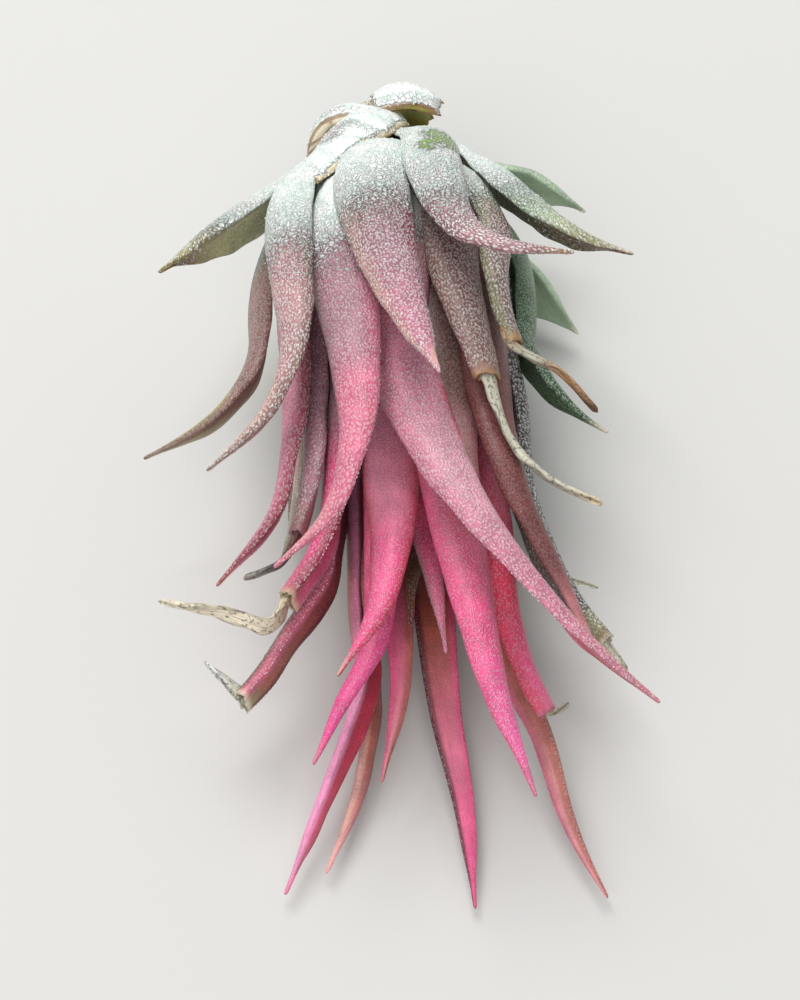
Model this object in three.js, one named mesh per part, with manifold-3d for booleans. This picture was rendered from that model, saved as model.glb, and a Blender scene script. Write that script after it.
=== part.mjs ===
// A small rosette air plant lying on its side: a short stem, the curled remains of its oldest
// leaves round the cut end, and thick channelled leaves that fan out from it.
// Units are millimetres. +Z is up, the cut end of the stem is at +Y and the leaf tips are at -Y.
// Every leaf is one closed solid: a crescent section swept along its midrib.

import * as THREE from "three";
import { mergeVertices } from "three/addons/utils/BufferGeometryUtils.js";
import Module from "manifold-3d";

const wasm = await Module();
wasm.setup();

// Driving dimensions of the stem and of the bundle of leaf bases round it.
const STEM_END = new THREE.Vector3(-1.7, 26, 6.5); // middle of the cut end
const STEM_AIM = new THREE.Vector3(0.8, 0, 8.5); // a point that the plant's axis goes through
const STEM_LENGTH = 13;
const STEM_RADIUS = 2.2;
const STEM_TOP_RADIUS = 0.8;
const STEM_SIDES = 12;
const STEM_RINGS = 9;
const STEM_GROOVE = 0.15;
const BASES_AREA = 5; // how fast the square of the bundle's radius grows along the stem, in mm
const SEAT_GAP = 0.3; // between a leaf's base and the stem

// Driving dimensions that all leaves share.
const SHEATH_LENGTH = 7; // the clasping base, before it narrows to the blade
const SHEATH_RISES = [0, 2.5, 6]; // where along the stem the sheath is held to the bundle
const NECK_LENGTH = 6; // the stretch over which it narrows
const SHEATH_SHARE_MOST = 0.35; // of a short leaf's length
const NECK_SHARE_MOST = 0.3;
const SHEATH_SPREAD = 1.25; // the sheath's width as a share of the blade's
const SHEATH_THICKNESS = 0.65;
const SHEATH_ARC_MOST = THREE.MathUtils.degToRad(65);
const BLADE_THICKNESS = 1.2;
const BLADE_ARC = THREE.MathUtils.degToRad(58); // half the angle that the blade's section bends through
const BEND_LEAST = 1.8; // the radius of that bend, in half thicknesses
const TAPER_POWER = 1.3;
const TIP_WIDTH = 0.4;
const TIP_THICKNESS = 0.6;
const EDGE_SHARE = 0.5; // a leaf's thickness at its edges, as a share of that at the midrib
const LEAN_BACK = 0.6; // how far a leaf's outer face looks back towards the cut end
const TURN_WEIGHT = 1.5; // mm from the axis within which a leaf keeps facing its own way
const DRY_THICKNESS = 0.6;
const DRY_ARC = 0.5;
const DRY_ROOT = 1.2; // how far the withered end reaches back into the blade
const DRY_END_SHARE = 0.55; // the width of a blade where its withered end starts, as a share
const RINGS = 13;
const DRY_RINGS = 6;
const RING_ACROSS = [-1, -0.4, 0.4, 1]; // the section's points on each face, from edge to edge
const STUB_THICKNESS = 0.7;
const STUB_FOOT_SHARE = 0.55; // the width of a stub's foot as a share of its middle
const STUB_RINGS = 8;
const FLOOR_SIZE = 100;
const FLAT_DEPTH = 0.15; // how much of a leaf's belly is flattened by the surface it lies on

// How the leaves are laid on each other.
const LEAF_GAP = 0.2; // between two leaves pressed together
const SETTLE_GAP = 0.35;
const SETTLE_STEP = 1.2; // between the sections that feel each other
const SETTLE_ROUNDS = 30;
const SETTLE_REACH = 2.5; // the deepest overlap that is still felt
const SETTLE_ACROSS = [-0.85, -0.45, 0, 0.45, 0.85];
const SETTLE_SHARE = 0.4; // of an overlap that each of the two leaves gives way in a round
const SETTLE_RETURN = 0.98; // how much of its move a leaf keeps from one round to the next
const SETTLE_TIP_RETURN = 0.85; // the same at its tip, which springs back

// Colours of the finishes.
const FINISHES = {
  scurf: { color: 0xcfd8c6, roughness: 0.95, metalness: 0 },
  green: { color: 0x76906a, roughness: 0.6, metalness: 0 },
  grey: { color: 0x8f8476, roughness: 0.8, metalness: 0 },
  mauve: { color: 0xb98784, roughness: 0.8, metalness: 0 },
  pink: { color: 0xd46a82, roughness: 0.55, metalness: 0 },
  red: { color: 0xb8424f, roughness: 0.55, metalness: 0 },
  stem: { color: 0x6e5236, roughness: 0.9, metalness: 0 },
};

// The leaves, from the outermost down. at is how far up the stem the leaf grows, turn is its
// place round the stem in degrees (0 is straight up, 90 is +X), wide is the blade's width, and
// path is where its midrib goes beyond the sheath. face turns the outside of the blade to that
// direction. clasp is how far up the stem a leaf that bends away early stays on the bundle. dry
// is the withered end: its width and where it goes from the end of the path.
const LEAVES = [
  { name: "leaf_right_back", at: 2.2, turn: 95, wide: 3, clasp: 0, finish: "green",
    path: [[4, 22, 6.3], [7, 20.7, 6.6], [9.5, 19.7, 6.8], [12, 18.5, 6]] },
  { name: "leaf_left_high", at: 3, turn: -68, wide: 3.4, clasp: 3, finish: "green",
    path: [[-7.5, 17, 9], [-11, 11, 12], [-14, 7, 13]] },
  { name: "leaf_right_high", at: 3, turn: 62, wide: 3.6, clasp: 3, finish: "green",
    path: [[4.7, 17, 10], [7.5, 12, 13], [10.5, 8.5, 14.2], [13.5, 7.5, 14]] },
  { name: "leaf_right_low", at: 4, turn: 122, wide: 4, clasp: 3, finish: "green",
    path: [[6, 16, 3.8], [9, 14, 3], [11.5, 12, 1.5]] },
  { name: "leaf_top_hook", at: 3.5, turn: 24, wide: 3.5, finish: "mauve",
    path: [[1.5, 14, 14], [3, 7, 17], [5.5, 4, 18.5], [9.5, 3.5, 18.5]] },
  { name: "leaf_left_shoulder", at: 4, turn: -44, wide: 3.4, finish: "mauve",
    path: [[-6.2, 13, 12.5], [-6, 4.5, 15], [-5.9, -1, 15.5], [-7.3, -4.2, 14], [-10.5, -6.5, 12]] },
  { name: "leaf_top_short", at: 4.5, turn: -8, wide: 4.4, finish: "mauve",
    path: [[-1.5, 10.5, 15], [0, 1, 18.5], [2, -6.5, 20.5]] },
  { name: "leaf_left_arched", at: 4.5, turn: -85, wide: 2.8, finish: "grey",
    path: [[-6.4, 7.5, 9], [-7.5, 2.5, 10], [-10.6, -1.8, 10], [-14.5, -3.5, 9]] },
  { name: "leaf_right_kinked", at: 5, turn: 48, wide: 2, finish: "grey",
    path: [[4, 10, 11.5], [4.4, 4.5, 13], [5.9, 1, 13]],
    dry: { wide: 1, path: [[9, 0, 12.5], [11, -2.5, 12]] } },
  { name: "leaf_right_dark", at: 5.5, turn: 90, wide: 3, finish: "green",
    path: [[5.5, 5.5, 8], [7.5, 2.5, 8.5], [10, 0, 8.5], [12, -1, 8]] },
  { name: "leaf_under_right", at: 5, turn: 145, wide: 3.6, finish: "green",
    path: [[4.5, 13, 1.2], [5.5, 5, 0.8], [6.5, -2, 1]] },
  { name: "leaf_under_left", at: 5, turn: -140, wide: 3.6, finish: "green",
    path: [[-5.5, 13, 1.2], [-6.2, 8, 0.8], [-6.5, 4, 1]] },
  { name: "leaf_top_left", at: 5.5, turn: -25, wide: 4.2, finish: "pink",
    path: [[-3.7, 8, 14.5], [-2.8, -0.5, 16.5], [-2.5, -7, 16.5], [-3.8, -11.5, 15],
      [-6.5, -13.7, 13.5]] },
  { name: "leaf_under_middle", at: 5.5, turn: 178, wide: 3.8, finish: "green",
    path: [[-0.5, 12, 1], [0, 4, 0.8], [0.5, -4, 1]] },
  { name: "leaf_right_withered", at: 6, turn: 18, wide: 3.4, finish: "mauve",
    path: [[2, 10, 12.5], [3, 4.5, 14], [4, 0.5, 14], [4.5, -1.5, 13.5]],
    dry: { wide: 1, path: [[6, -4.5, 12.5], [8, -6.5, 11.5], [11, -8, 11]] } },
  { name: "leaf_left_long", at: 6.5, turn: -60, wide: 3.2, finish: "mauve",
    path: [[-5.5, 0.5, 11], [-5.8, -4.5, 11.5], [-6.8, -8.5, 10.5], [-9.9, -12, 9]] },
  { name: "leaf_top_long", at: 7, turn: 3, wide: 4.7, finish: "pink",
    path: [[-0.5, 2.5, 13.5], [1, -3.5, 14.5], [3.4, -9.2, 14.5], [6.8, -13.9, 13], [10.3, -17.3, 11],
      [13.4, -19.4, 9.5]] },
  { name: "leaf_right_grey", at: 7, turn: 75, wide: 2.8, finish: "grey",
    path: [[5.5, -1, 7], [7.5, -7.5, 7], [9.7, -11.5, 6], [11.3, -13.5, 5.5]],
    dry: { wide: 1, path: [[12.5, -15, 5]] } },
  { name: "leaf_under_side", at: 7, turn: 112, wide: 3, finish: "green",
    path: [[5.5, 8, 3.5], [7, 1, 3], [8, -4, 2.5]] },
  { name: "leaf_left_narrow", at: 7.5, turn: -78, wide: 2.2, finish: "grey",
    path: [[-5, -0.5, 8], [-5.5, -6, 8.5], [-6.5, -10, 8]] },
  { name: "leaf_low_right", at: 7.5, turn: 125, wide: 2.8, finish: "red",
    path: [[6, -14.5, 4], [7.7, -18.5, 3], [9.3, -23, 1.5], [11, -26.5, 1]] },
  { name: "leaf_under_deep", at: 7.5, turn: -112, wide: 3, finish: "green",
    path: [[-5, 6, 3.5], [-6, -1, 3], [-6.5, -6, 2.5]] },
  { name: "leaf_left_mauve", at: 7.8, turn: -50, wide: 2.4, finish: "mauve",
    path: [[-4.5, 0, 10], [-4.5, -5.5, 10.5], [-5.5, -9, 9.5]],
    dry: { wide: 0.8, path: [[-6.5, -10.5, 9], [-8.5, -11.5, 9]] } },
  { name: "leaf_left_snapped", at: 8.5, turn: -32, wide: 3.9, finish: "pink",
    path: [[-2.5, 0, 10.5], [-3, -6.5, 9.5], [-4.2, -10, 9], [-5.7, -12.7, 8.5]],
    dry: { wide: 1, path: [[-7, -14, 8.5], [-10, -13.5, 9], [-13, -13, 9]] } },
  { name: "leaf_low_brown", at: 8, turn: -160, wide: 2.4, face: -130, finish: "red",
    path: [[-1, -10, 3], [-0.9, -16.5, 2.5], [-2.1, -20.8, 1.5], [-3.9, -25.1, 1]] },
  { name: "leaf_right_brown", at: 8.5, turn: 38, wide: 3.8, face: 35, finish: "red",
    path: [[3.5, 0, 10], [5.5, -6, 10.5], [8, -10.5, 9.5], [10.5, -15, 7.5]] },
  { name: "leaf_left_folded", at: 9, turn: -85, wide: 2.8, face: -95, finish: "red",
    path: [[-3, -2, 7], [-3.6, -9, 6], [-5.8, -12.6, 6], [-7.5, -15.5, 5.5], [-8.6, -17.1, 5.5]],
    dry: { wide: 1, path: [[-8.5, -17, 5.5], [-10.5, -15.5, 7]] } },
  { name: "leaf_low_front", at: 8.5, turn: 165, wide: 3.4, face: 178, finish: "red",
    path: [[2, -11, 4], [2.5, -16, 2.5], [3.5, -21.5, 1.5], [4, -27, 0.8]] },
  { name: "leaf_low_left", at: 8.5, turn: -130, wide: 3.5, face: -115, finish: "pink",
    path: [[-1, -13.5, 4.5], [-3, -18, 3], [-4.6, -22.5, 2], [-6.1, -26.3, 1]] },
  { name: "leaf_front_bright", at: 9, turn: 20, wide: 4.7, face: 12, finish: "pink",
    path: [[2.4, -5.5, 10], [3.7, -13, 10.5], [5, -19, 10], [6.9, -24, 8]] },
  { name: "leaf_front_middle", at: 9.5, turn: -5, wide: 4.5, face: -8, finish: "pink",
    path: [[-0.7, 2, 12], [-0.9, -4.5, 12.5], [-0.7, -10, 12.5], [-1.2, -15, 12], [-3.2, -18.7, 11]] },
  { name: "leaf_front_red", at: 9.5, turn: 60, wide: 2.6, face: 35, finish: "red",
    path: [[5, -8.5, 7], [6.6, -13.5, 6], [8.7, -17, 5]],
    dry: { wide: 0.7, path: [[9.2, -17, 5]] } },
  { name: "leaf_left_shaded", at: 10, turn: -80, wide: 2.2, face: -110, finish: "red",
    path: [[-2.5, -4, 6], [-3, -9, 5], [-3, -13.5, 4]] },
  { name: "leaf_right_spike", at: 10, turn: 85, wide: 1.6, finish: "grey",
    path: [[5, -3, 5.5], [7.5, -7.5, 5.5]],
    dry: { wide: 0.6, path: [[9, -9, 5.3], [11.2, -9.6, 5]] } },
  { name: "leaf_front_pink", at: 10.5, turn: -12, wide: 3.1, face: -5, finish: "pink",
    path: [[-1, -8, 9], [-1.5, -15, 8], [-3, -18.2, 7.5], [-4.5, -21.7, 7]] },
  { name: "leaf_inner_right", at: 11, turn: 12, wide: 2.4, face: 10, finish: "pink",
    path: [[1.5, -7.5, 8.5], [2, -11.5, 8], [2.5, -15, 7]] },
  { name: "leaf_inner_low", at: 11.5, turn: 180, wide: 2.6, face: 180, finish: "red",
    path: [[0, -5, 6], [0, -12.5, 5.5], [0, -16, 4.5], [-1, -20.5, 2.5]] },
  { name: "leaf_inner_tip", at: 12, turn: 0, wide: 1.6, face: 0, finish: "grey",
    path: [[0.5, -5, 8], [0.5, -9.5, 7.5], [0.5, -13, 7]] },
];

// The stubs of the oldest leaves at the cut end. The width grows from the foot to the middle, and
// the end narrows again with a large swell, in radians of the sine that the width follows.
const STUBS = [
  { name: "stub_right", wide: 4.4, arc: 42, swell: 2, face: 8, finish: "scurf",
    path: [[0.5, 24.9, 7.2], [0.5, 24.9, 9.4], [0.45, 24.3, 11.2], [0.4, 23.4, 12.3], [0.5, 22.2, 13],
      [0.6, 21, 12.9]] },
  { name: "stub_left", wide: 5.2, arc: 62, swell: 2.1, finish: "scurf",
    path: [[-3.3, 24.9, 8.1], [-4, 24, 9.4], [-4.3, 22.9, 10.6], [-4.5, 21.7, 11.1]] },
  { name: "stub_curled", wide: 4.9, arc: 52, swell: 2.8, finish: "scurf",
    path: [[-1.6, 24.5, 9.2], [-1.7, 22.4, 11.3], [-2.3, 20.2, 12.9], [-4, 17.4, 13.8],
      [-6.1, 14.8, 13]] },
];

const UP = new THREE.Vector3(0, 0, 1);
const TIPWARD = STEM_AIM.clone().sub(STEM_END).normalize();
const ABOVE = UP.clone().addScaledVector(TIPWARD, -UP.dot(TIPWARD)).normalize();
const RIGHTWARD = new THREE.Vector3().crossVectors(ABOVE, TIPWARD).normalize();

const smooth = (from, to, x) => THREE.MathUtils.smoothstep(x, from, to);
const mix = THREE.MathUtils.lerp;
const axisPoint = (along) => STEM_END.clone().addScaledVector(TIPWARD, along);
const through = (points) => new THREE.CatmullRomCurve3(points, false, "centripetal");

// The direction away from the plant's axis at an angle round it, in degrees from straight up.
function outward(turn) {
  const a = THREE.MathUtils.degToRad(turn);
  return ABOVE.clone().multiplyScalar(Math.cos(a)).addScaledVector(RIGHTWARD, Math.sin(a));
}

const stemRadius = (along) => mix(STEM_RADIUS, STEM_TOP_RADIUS, along / STEM_LENGTH);

// How far from the axis a leaf lies along its sheath, once the younger leaves have pushed it out.
function packedRadius(at, rise) {
  const seat = stemRadius(at) + SEAT_GAP + SHEATH_THICKNESS / 2;
  return Math.sqrt(seat * seat + BASES_AREA * rise);
}

function midrib(leaf) {
  const radial = outward(leaf.turn);
  const rises = SHEATH_RISES.filter((rise) => rise <= (leaf.clasp ?? SHEATH_LENGTH));
  const sheath = rises.map((rise) =>
    axisPoint(leaf.at + rise).addScaledVector(radial, packedRadius(leaf.at, rise)),
  );
  return through([...sheath, ...leaf.path.map((p) => new THREE.Vector3(...p))]);
}

// The frame at a point of a midrib: the way the leaf's outside faces, and sideways.
function frameAt(leaf, point, tangent, onBlade) {
  const along = point.clone().sub(STEM_END).dot(TIPWARD);
  const away = point.clone().sub(axisPoint(along));
  const distance = away.length();
  const out = away.addScaledVector(outward(leaf.turn), TURN_WEIGHT).normalize();
  if (onBlade && leaf.face !== undefined) out.copy(outward(leaf.face));
  out.addScaledVector(TIPWARD, -LEAN_BACK);
  out.addScaledVector(tangent, -out.dot(tangent)).normalize();
  const side = new THREE.Vector3().crossVectors(tangent, out);
  return { out, side, distance };
}

// The leaf's section at a share t of its midrib: where it is, how it is turned and its size.
function sectionAt(leaf, curve, length, t) {
  const s = t * length;
  const centre = curve.getPointAt(t);
  const sheathLength = Math.min(SHEATH_LENGTH, SHEATH_SHARE_MOST * length);
  const neckLength = Math.min(NECK_LENGTH, NECK_SHARE_MOST * length);
  const frame = frameAt(leaf, centre, curve.getTangentAt(t), s > sheathLength);
  const neck = smooth(sheathLength - neckLength / 2, sheathLength + neckLength / 2, s);
  const taperFrom = sheathLength + neckLength;
  const taper = Math.max(0, (s - taperFrom) / (length - taperFrom));
  const endWidth = leaf.dry ? leaf.wide * DRY_END_SHARE : TIP_WIDTH;
  const bladeWidth = mix(leaf.wide, endWidth, Math.pow(taper, TAPER_POWER));
  const halfWidth = mix(leaf.wide * SHEATH_SPREAD, bladeWidth, neck) / 2;
  const endThickness = leaf.dry ? 1 : TIP_THICKNESS;
  const bladeThickness = mix(BLADE_THICKNESS, endThickness, taper * taper);
  const halfThickness = mix(SHEATH_THICKNESS, bladeThickness, neck) / 2;
  const sheathArc = Math.min(SHEATH_ARC_MOST, halfWidth / frame.distance);
  const arcMost = Math.asin(Math.min(1, halfWidth / (BEND_LEAST * halfThickness)));
  const arc = Math.min(arcMost, mix(sheathArc, BLADE_ARC, neck));
  return { centre, frame, halfWidth, halfThickness, arc };
}

const thinning = (across) => 1 - (1 - EDGE_SHARE) * across * across;

// A point of a crescent section: across runs from -1 at one edge to 1 at the other, and face is
// 1 on the outside, -1 on the inside and 0 halfway.
function sectionPoint({ centre, frame, halfWidth, halfThickness, arc }, across, face, grow = 0) {
  const radius = (halfWidth + grow) / Math.sin(arc);
  const r = radius + face * (halfThickness * thinning(across) + grow);
  return centre.clone()
    .addScaledVector(frame.out, r * Math.cos(across * arc) - radius)
    .addScaledVector(frame.side, r * Math.sin(across * arc));
}

// Lays the leaves on each other. Balls set across each leaf's sections push apart those of the
// other leaves, a little in every round: the leaf that grows lower on the stem goes outwards,
// and the other one inwards. The foot of a leaf stays on the stem, and a leaf that bends away at
// its foot stays where it is.
function settle(leaves) {
  const rows = leaves.map((leaf) => {
    const curve = midrib(leaf);
    const length = curve.getLength();
    const steps = Math.ceil(length / SETTLE_STEP);
    const sections = [];
    for (let i = 0; i <= steps; i++) sections.push(sectionAt(leaf, curve, length, i / steps));
    return { leaf, sections, moves: sections.map(() => 0) };
  });
  for (let round = 0; round < SETTLE_ROUNDS; round++) {
    const pushes = feel(rows);
    rows.forEach((row, r) => {
      const last = row.moves.length - 1;
      const wanted = row.moves.map((move, i) => {
        const kept = mix(SETTLE_RETURN, SETTLE_TIP_RETURN, smooth(0.6, 1, i / last));
        return kept * move + SETTLE_SHARE * pushes[r][i];
      });
      const free = row.leaf.clasp === 0 ? 0 : 1;
      row.moves = wanted.map((_, i) => free * Math.min(1, i / 4) * evened(wanted, i));
    });
  }
  for (const { leaf, sections, moves } of rows) {
    const centres = sections.map((section, i) => {
      const moved = section.centre.clone().addScaledVector(section.frame.out, moves[i]);
      const lowest = lowestPoint({ ...section, centre: moved });
      moved.z += Math.max(0, -FLAT_DEPTH - lowest);
      return moved;
    });
    leaf.curve = through(centres);
  }
}

// The mean of a value and its neighbours along a leaf.
function evened(values, i) {
  const last = values.length - 1;
  const at = (j) => values[Math.min(last, Math.max(0, j))];
  return (at(i - 2) + 2 * at(i - 1) + 3 * at(i) + 2 * at(i + 1) + at(i + 2)) / 9;
}

function lowestPoint(section) {
  return Math.min(...ring(section, 0).map((point) => point.z));
}

// For each section of each leaf, how far the others push it: outwards is positive.
function feel(rows) {
  const cells = new Map();
  const cellOf = (p) => [p.x, p.y, p.z].map((v) => Math.floor(v / SETTLE_REACH));
  const balls = rows.flatMap((row, r) =>
    row.sections.flatMap((section, i) =>
      SETTLE_ACROSS.map((across) => ({
        r,
        i,
        at: sectionPoint(section, across, 0).addScaledVector(section.frame.out, row.moves[i]),
        out: section.frame.out,
        radius: section.halfThickness * thinning(across),
      })),
    ),
  );
  for (const ball of balls) {
    const key = cellOf(ball.at).join();
    if (!cells.has(key)) cells.set(key, []);
    cells.get(key).push(ball);
  }
  const outwards = rows.map((row) => row.moves.map(() => 0));
  const inwards = rows.map((row) => row.moves.map(() => 0));
  for (const lower of balls) {
    const [cx, cy, cz] = cellOf(lower.at);
    for (let k = 0; k < 27; k++) {
      const key = [cx + (k % 3) - 1, cy + (Math.floor(k / 3) % 3) - 1, cz + Math.floor(k / 9) - 1].join();
      for (const upper of cells.get(key) ?? []) {
        if (upper.r <= lower.r) continue;
        const overlap = overlapOf(lower, upper);
        if (overlap <= 0) continue;
        outwards[lower.r][lower.i] = Math.max(outwards[lower.r][lower.i], overlap);
        inwards[upper.r][upper.i] = Math.max(inwards[upper.r][upper.i], overlap);
      }
    }
  }
  return outwards.map((row, r) => row.map((push, i) => push - inwards[r][i]));
}

// How much too deep a ball of the lower, outer leaf sits in or behind a ball of an upper leaf.
function overlapOf(lower, upper) {
  const dx = lower.at.x - upper.at.x;
  const dy = lower.at.y - upper.at.y;
  const dz = lower.at.z - upper.at.z;
  const ahead = dx * lower.out.x + dy * lower.out.y + dz * lower.out.z;
  const need = lower.radius + upper.radius + SETTLE_GAP;
  const beside = dx * dx + dy * dy + dz * dz - ahead * ahead;
  if (beside > need * need || ahead < -SETTLE_REACH) return 0;
  return Math.sqrt(need * need - beside) - ahead;
}

// Rings of equal length joined into one closed solid.
function loft(rings) {
  const n = rings[0].length;
  const positions = rings.flat().flatMap((p) => [p.x, p.y, p.z]);
  const triangles = [];
  for (let i = 0; i + 1 < rings.length; i++) {
    for (let k = 0; k < n; k++) {
      const a = i * n + k;
      const b = i * n + ((k + 1) % n);
      triangles.push(a, b, a + n, b, b + n, a + n);
    }
  }
  const last = (rings.length - 1) * n;
  for (let k = 0; k + 1 < n / 2; k++) {
    const j = n - 1 - k;
    triangles.push(k, j, k + 1, k + 1, j, j - 1);
    triangles.push(last + k, last + k + 1, last + j, last + k + 1, last + j - 1, last + j);
  }
  const mesh = new wasm.Mesh({
    numProp: 3,
    vertProperties: new Float32Array(positions),
    triVerts: new Uint32Array(triangles),
  });
  return new wasm.Manifold(mesh);
}

// One ring of a crescent section: the outer face from edge to edge, then the inner face back.
function ring(section, grow) {
  const outer = RING_ACROSS.map((across) => sectionPoint(section, across, 1, grow));
  const inner = RING_ACROSS.map((across) => sectionPoint(section, -across, -1, grow));
  return [...outer, ...inner];
}

// A leaf's blade and sheath. grow adds to its thickness and width all round.
function blade(leaf, grow) {
  const length = leaf.curve.getLength();
  const rings = [];
  for (let i = 0; i < RINGS; i++) {
    rings.push(ring(sectionAt(leaf, leaf.curve, length, i / (RINGS - 1)), grow));
  }
  return loft(rings);
}

// The withered end of a leaf: a narrow strap from just inside the blade's end.
function witheredEnd(leaf, grow) {
  const root = leaf.curve.getPointAt(1 - DRY_ROOT / leaf.curve.getLength());
  const end = leaf.curve.getPointAt(1);
  const strap = through([root, end, ...leaf.dry.path.map((p) => new THREE.Vector3(...p))]);
  const rings = [];
  for (let i = 0; i < DRY_RINGS; i++) {
    const t = i / (DRY_RINGS - 1);
    const centre = strap.getPointAt(t);
    const frame = frameAt(leaf, centre, strap.getTangentAt(t), true);
    const halfWidth = (leaf.dry.wide * mix(1.3, 0.6, t)) / 2;
    rings.push(ring({ centre, frame, halfWidth, halfThickness: DRY_THICKNESS / 2, arc: DRY_ARC }, grow));
  }
  return loft(rings);
}

function leafSolid(leaf, grow = 0) {
  const made = blade(leaf, grow);
  return leaf.dry ? made.add(witheredEnd(leaf, grow)) : made;
}

const biggest = (solid) =>
  solid.decompose().reduce((best, s) => (s.volume() > best.volume() ? s : best));

function toGeometry(solid) {
  const mesh = solid.getMesh();
  return new THREE.BufferGeometry()
    .setAttribute("position", new THREE.BufferAttribute(mesh.vertProperties.slice(), 3))
    .setIndex(new THREE.BufferAttribute(mesh.triVerts.slice(), 1));
}

// The stub of an old leaf: broadest in the middle, with a blunt torn end.
function stubSolid(stub, grow = 0) {
  const curve = through(stub.path.map((p) => new THREE.Vector3(...p)));
  const rings = [];
  for (let i = 0; i < STUB_RINGS; i++) {
    const t = i / (STUB_RINGS - 1);
    const centre = curve.getPointAt(t);
    const frame = frameAt({ turn: 0, face: stub.face }, centre, curve.getTangentAt(t), true);
    const halfWidth = (stub.wide / 2) * mix(STUB_FOOT_SHARE, 1, Math.sin(stub.swell * t));
    const arc = THREE.MathUtils.degToRad(stub.arc);
    rings.push(ring({ centre, frame, halfWidth, halfThickness: STUB_THICKNESS / 2, arc }, grow));
  }
  return loft(rings);
}

// The stem: a tapered rod with the rings that fallen leaves left on it.
function stemSolid() {
  const rings = [];
  for (let i = 0; i < STEM_RINGS; i++) {
    const along = (STEM_LENGTH * i) / (STEM_RINGS - 1);
    const radius = stemRadius(along) - (i % 2 ? STEM_GROOVE : 0);
    const ringPoints = [];
    for (let k = 0; k < STEM_SIDES; k++) {
      const turn = (360 * k) / STEM_SIDES;
      ringPoints.push(axisPoint(along).addScaledVector(outward(-turn), radius));
    }
    rings.push(ringPoints);
  }
  return loft(rings);
}

// Everything below the surface that the plant lies on.
function floorSolid() {
  const box = new THREE.BoxGeometry(FLOOR_SIZE, FLOOR_SIZE, FLOOR_SIZE).translate(0, 0, -FLOOR_SIZE / 2);
  box.deleteAttribute("normal");
  box.deleteAttribute("uv");
  const merged = mergeVertices(box);
  const mesh = new wasm.Mesh({
    numProp: 3,
    vertProperties: merged.attributes.position.array,
    triVerts: new Uint32Array(merged.index.array),
  });
  return new wasm.Manifold(mesh);
}

const plant = new THREE.Group();

function addNode(name, solid, finish) {
  const mesh = new THREE.Mesh(toGeometry(solid), new THREE.MeshStandardMaterial(FINISHES[finish]));
  mesh.name = name;
  plant.add(mesh);
}

// Each piece gives way to the ones outside it, with a small gap, and the stem to them all.
settle(LEAVES);
const floor = floorSolid();
const outer = [];
for (const piece of [...STUBS, ...LEAVES]) {
  const shape = piece.curve ? leafSolid : stubSolid;
  let solid = shape(piece);
  for (const other of outer) solid = solid.subtract(other);
  addNode(piece.name, biggest(solid.subtract(floor)), piece.finish);
  outer.push(shape(piece, LEAF_GAP));
}
addNode("stem", biggest(outer.reduce((solid, other) => solid.subtract(other), stemSolid())), "stem");

// The origin is under the middle of the plant, on the surface that it lies on.
const bounds = new THREE.Box3().setFromObject(plant);
const middle = bounds.getCenter(new THREE.Vector3());
for (const mesh of plant.children) mesh.geometry.translate(-middle.x, -middle.y, -bounds.min.z);

export default plant;
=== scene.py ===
import math

import bpy
import numpy as np
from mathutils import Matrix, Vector


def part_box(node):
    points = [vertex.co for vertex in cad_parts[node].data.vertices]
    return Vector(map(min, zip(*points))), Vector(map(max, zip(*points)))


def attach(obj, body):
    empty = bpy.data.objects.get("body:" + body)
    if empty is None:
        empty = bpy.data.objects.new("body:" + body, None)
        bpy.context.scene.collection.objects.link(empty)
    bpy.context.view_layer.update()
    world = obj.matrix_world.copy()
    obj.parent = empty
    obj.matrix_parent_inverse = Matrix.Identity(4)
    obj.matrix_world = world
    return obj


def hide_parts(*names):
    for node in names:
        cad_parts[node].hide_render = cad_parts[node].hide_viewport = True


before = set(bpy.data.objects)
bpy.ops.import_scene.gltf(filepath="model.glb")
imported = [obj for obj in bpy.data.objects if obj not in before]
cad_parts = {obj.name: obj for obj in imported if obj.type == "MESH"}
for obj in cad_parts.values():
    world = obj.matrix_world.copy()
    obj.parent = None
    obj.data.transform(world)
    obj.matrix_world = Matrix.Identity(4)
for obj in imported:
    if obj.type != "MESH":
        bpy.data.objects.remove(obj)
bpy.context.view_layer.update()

MM = 0.001  # lengths below are in millimetres, and a mesh gets them in metres

# Driving dimensions of the stem and the bundle of leaf bases round it, as the source has them.
STEM_END = np.array([-1.7, 26, 6.5])  # middle of the cut end
STEM_AIM = np.array([0.8, 0, 8.5])  # a point that its axis runs towards
STEM_LENGTH = 13
STEM_RADIUS = 2.2
STEM_TOP_RADIUS = 0.8
BASES_AREA = 5  # how much the bundle's radius squared grows with each millimetre of stem
SEAT_GAP = 0.3  # between the stem and a sheath

# Driving dimensions that all leaves share, as the source has them.
SHEATH_LENGTH = 7
SHEATH_RISES = (0, 2.5, 6)  # how far up the stem from its root a sheath's points lie
NECK_LENGTH = 6  # the stretch over which the sheath becomes the blade
SHEATH_SHARE_MOST = 0.35  # of a leaf's length
NECK_SHARE_MOST = 0.3
SHEATH_SPREAD = 1.25  # its width to the blade's
SHEATH_THICKNESS = 0.65
SHEATH_ARC_MOST = math.radians(65)  # an arc is half of what a section spans
BLADE_THICKNESS = 1.2
BLADE_ARC = math.radians(58)
BEND_LEAST = 1.8  # a section's radius to half its thickness
TAPER_POWER = 1.3
TIP_WIDTH = 0.4
TIP_THICKNESS = 0.6
TORN_THICKNESS = 1
EDGE_SHARE = 0.5  # an edge's thickness to the middle's
LEAN_BACK = 0.6  # how far the outside leans towards the cut end
TURN_WEIGHT = 1.5  # of a leaf's own turn against its place round the stem
DRY_END_SHARE = 0.55  # a torn end's width to the blade's
STUB_FOOT_SHARE = 0.55  # a stub's foot to its widest part
FLAT_DEPTH = 0.15  # how much of a leaf is pressed flat where it rests
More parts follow.
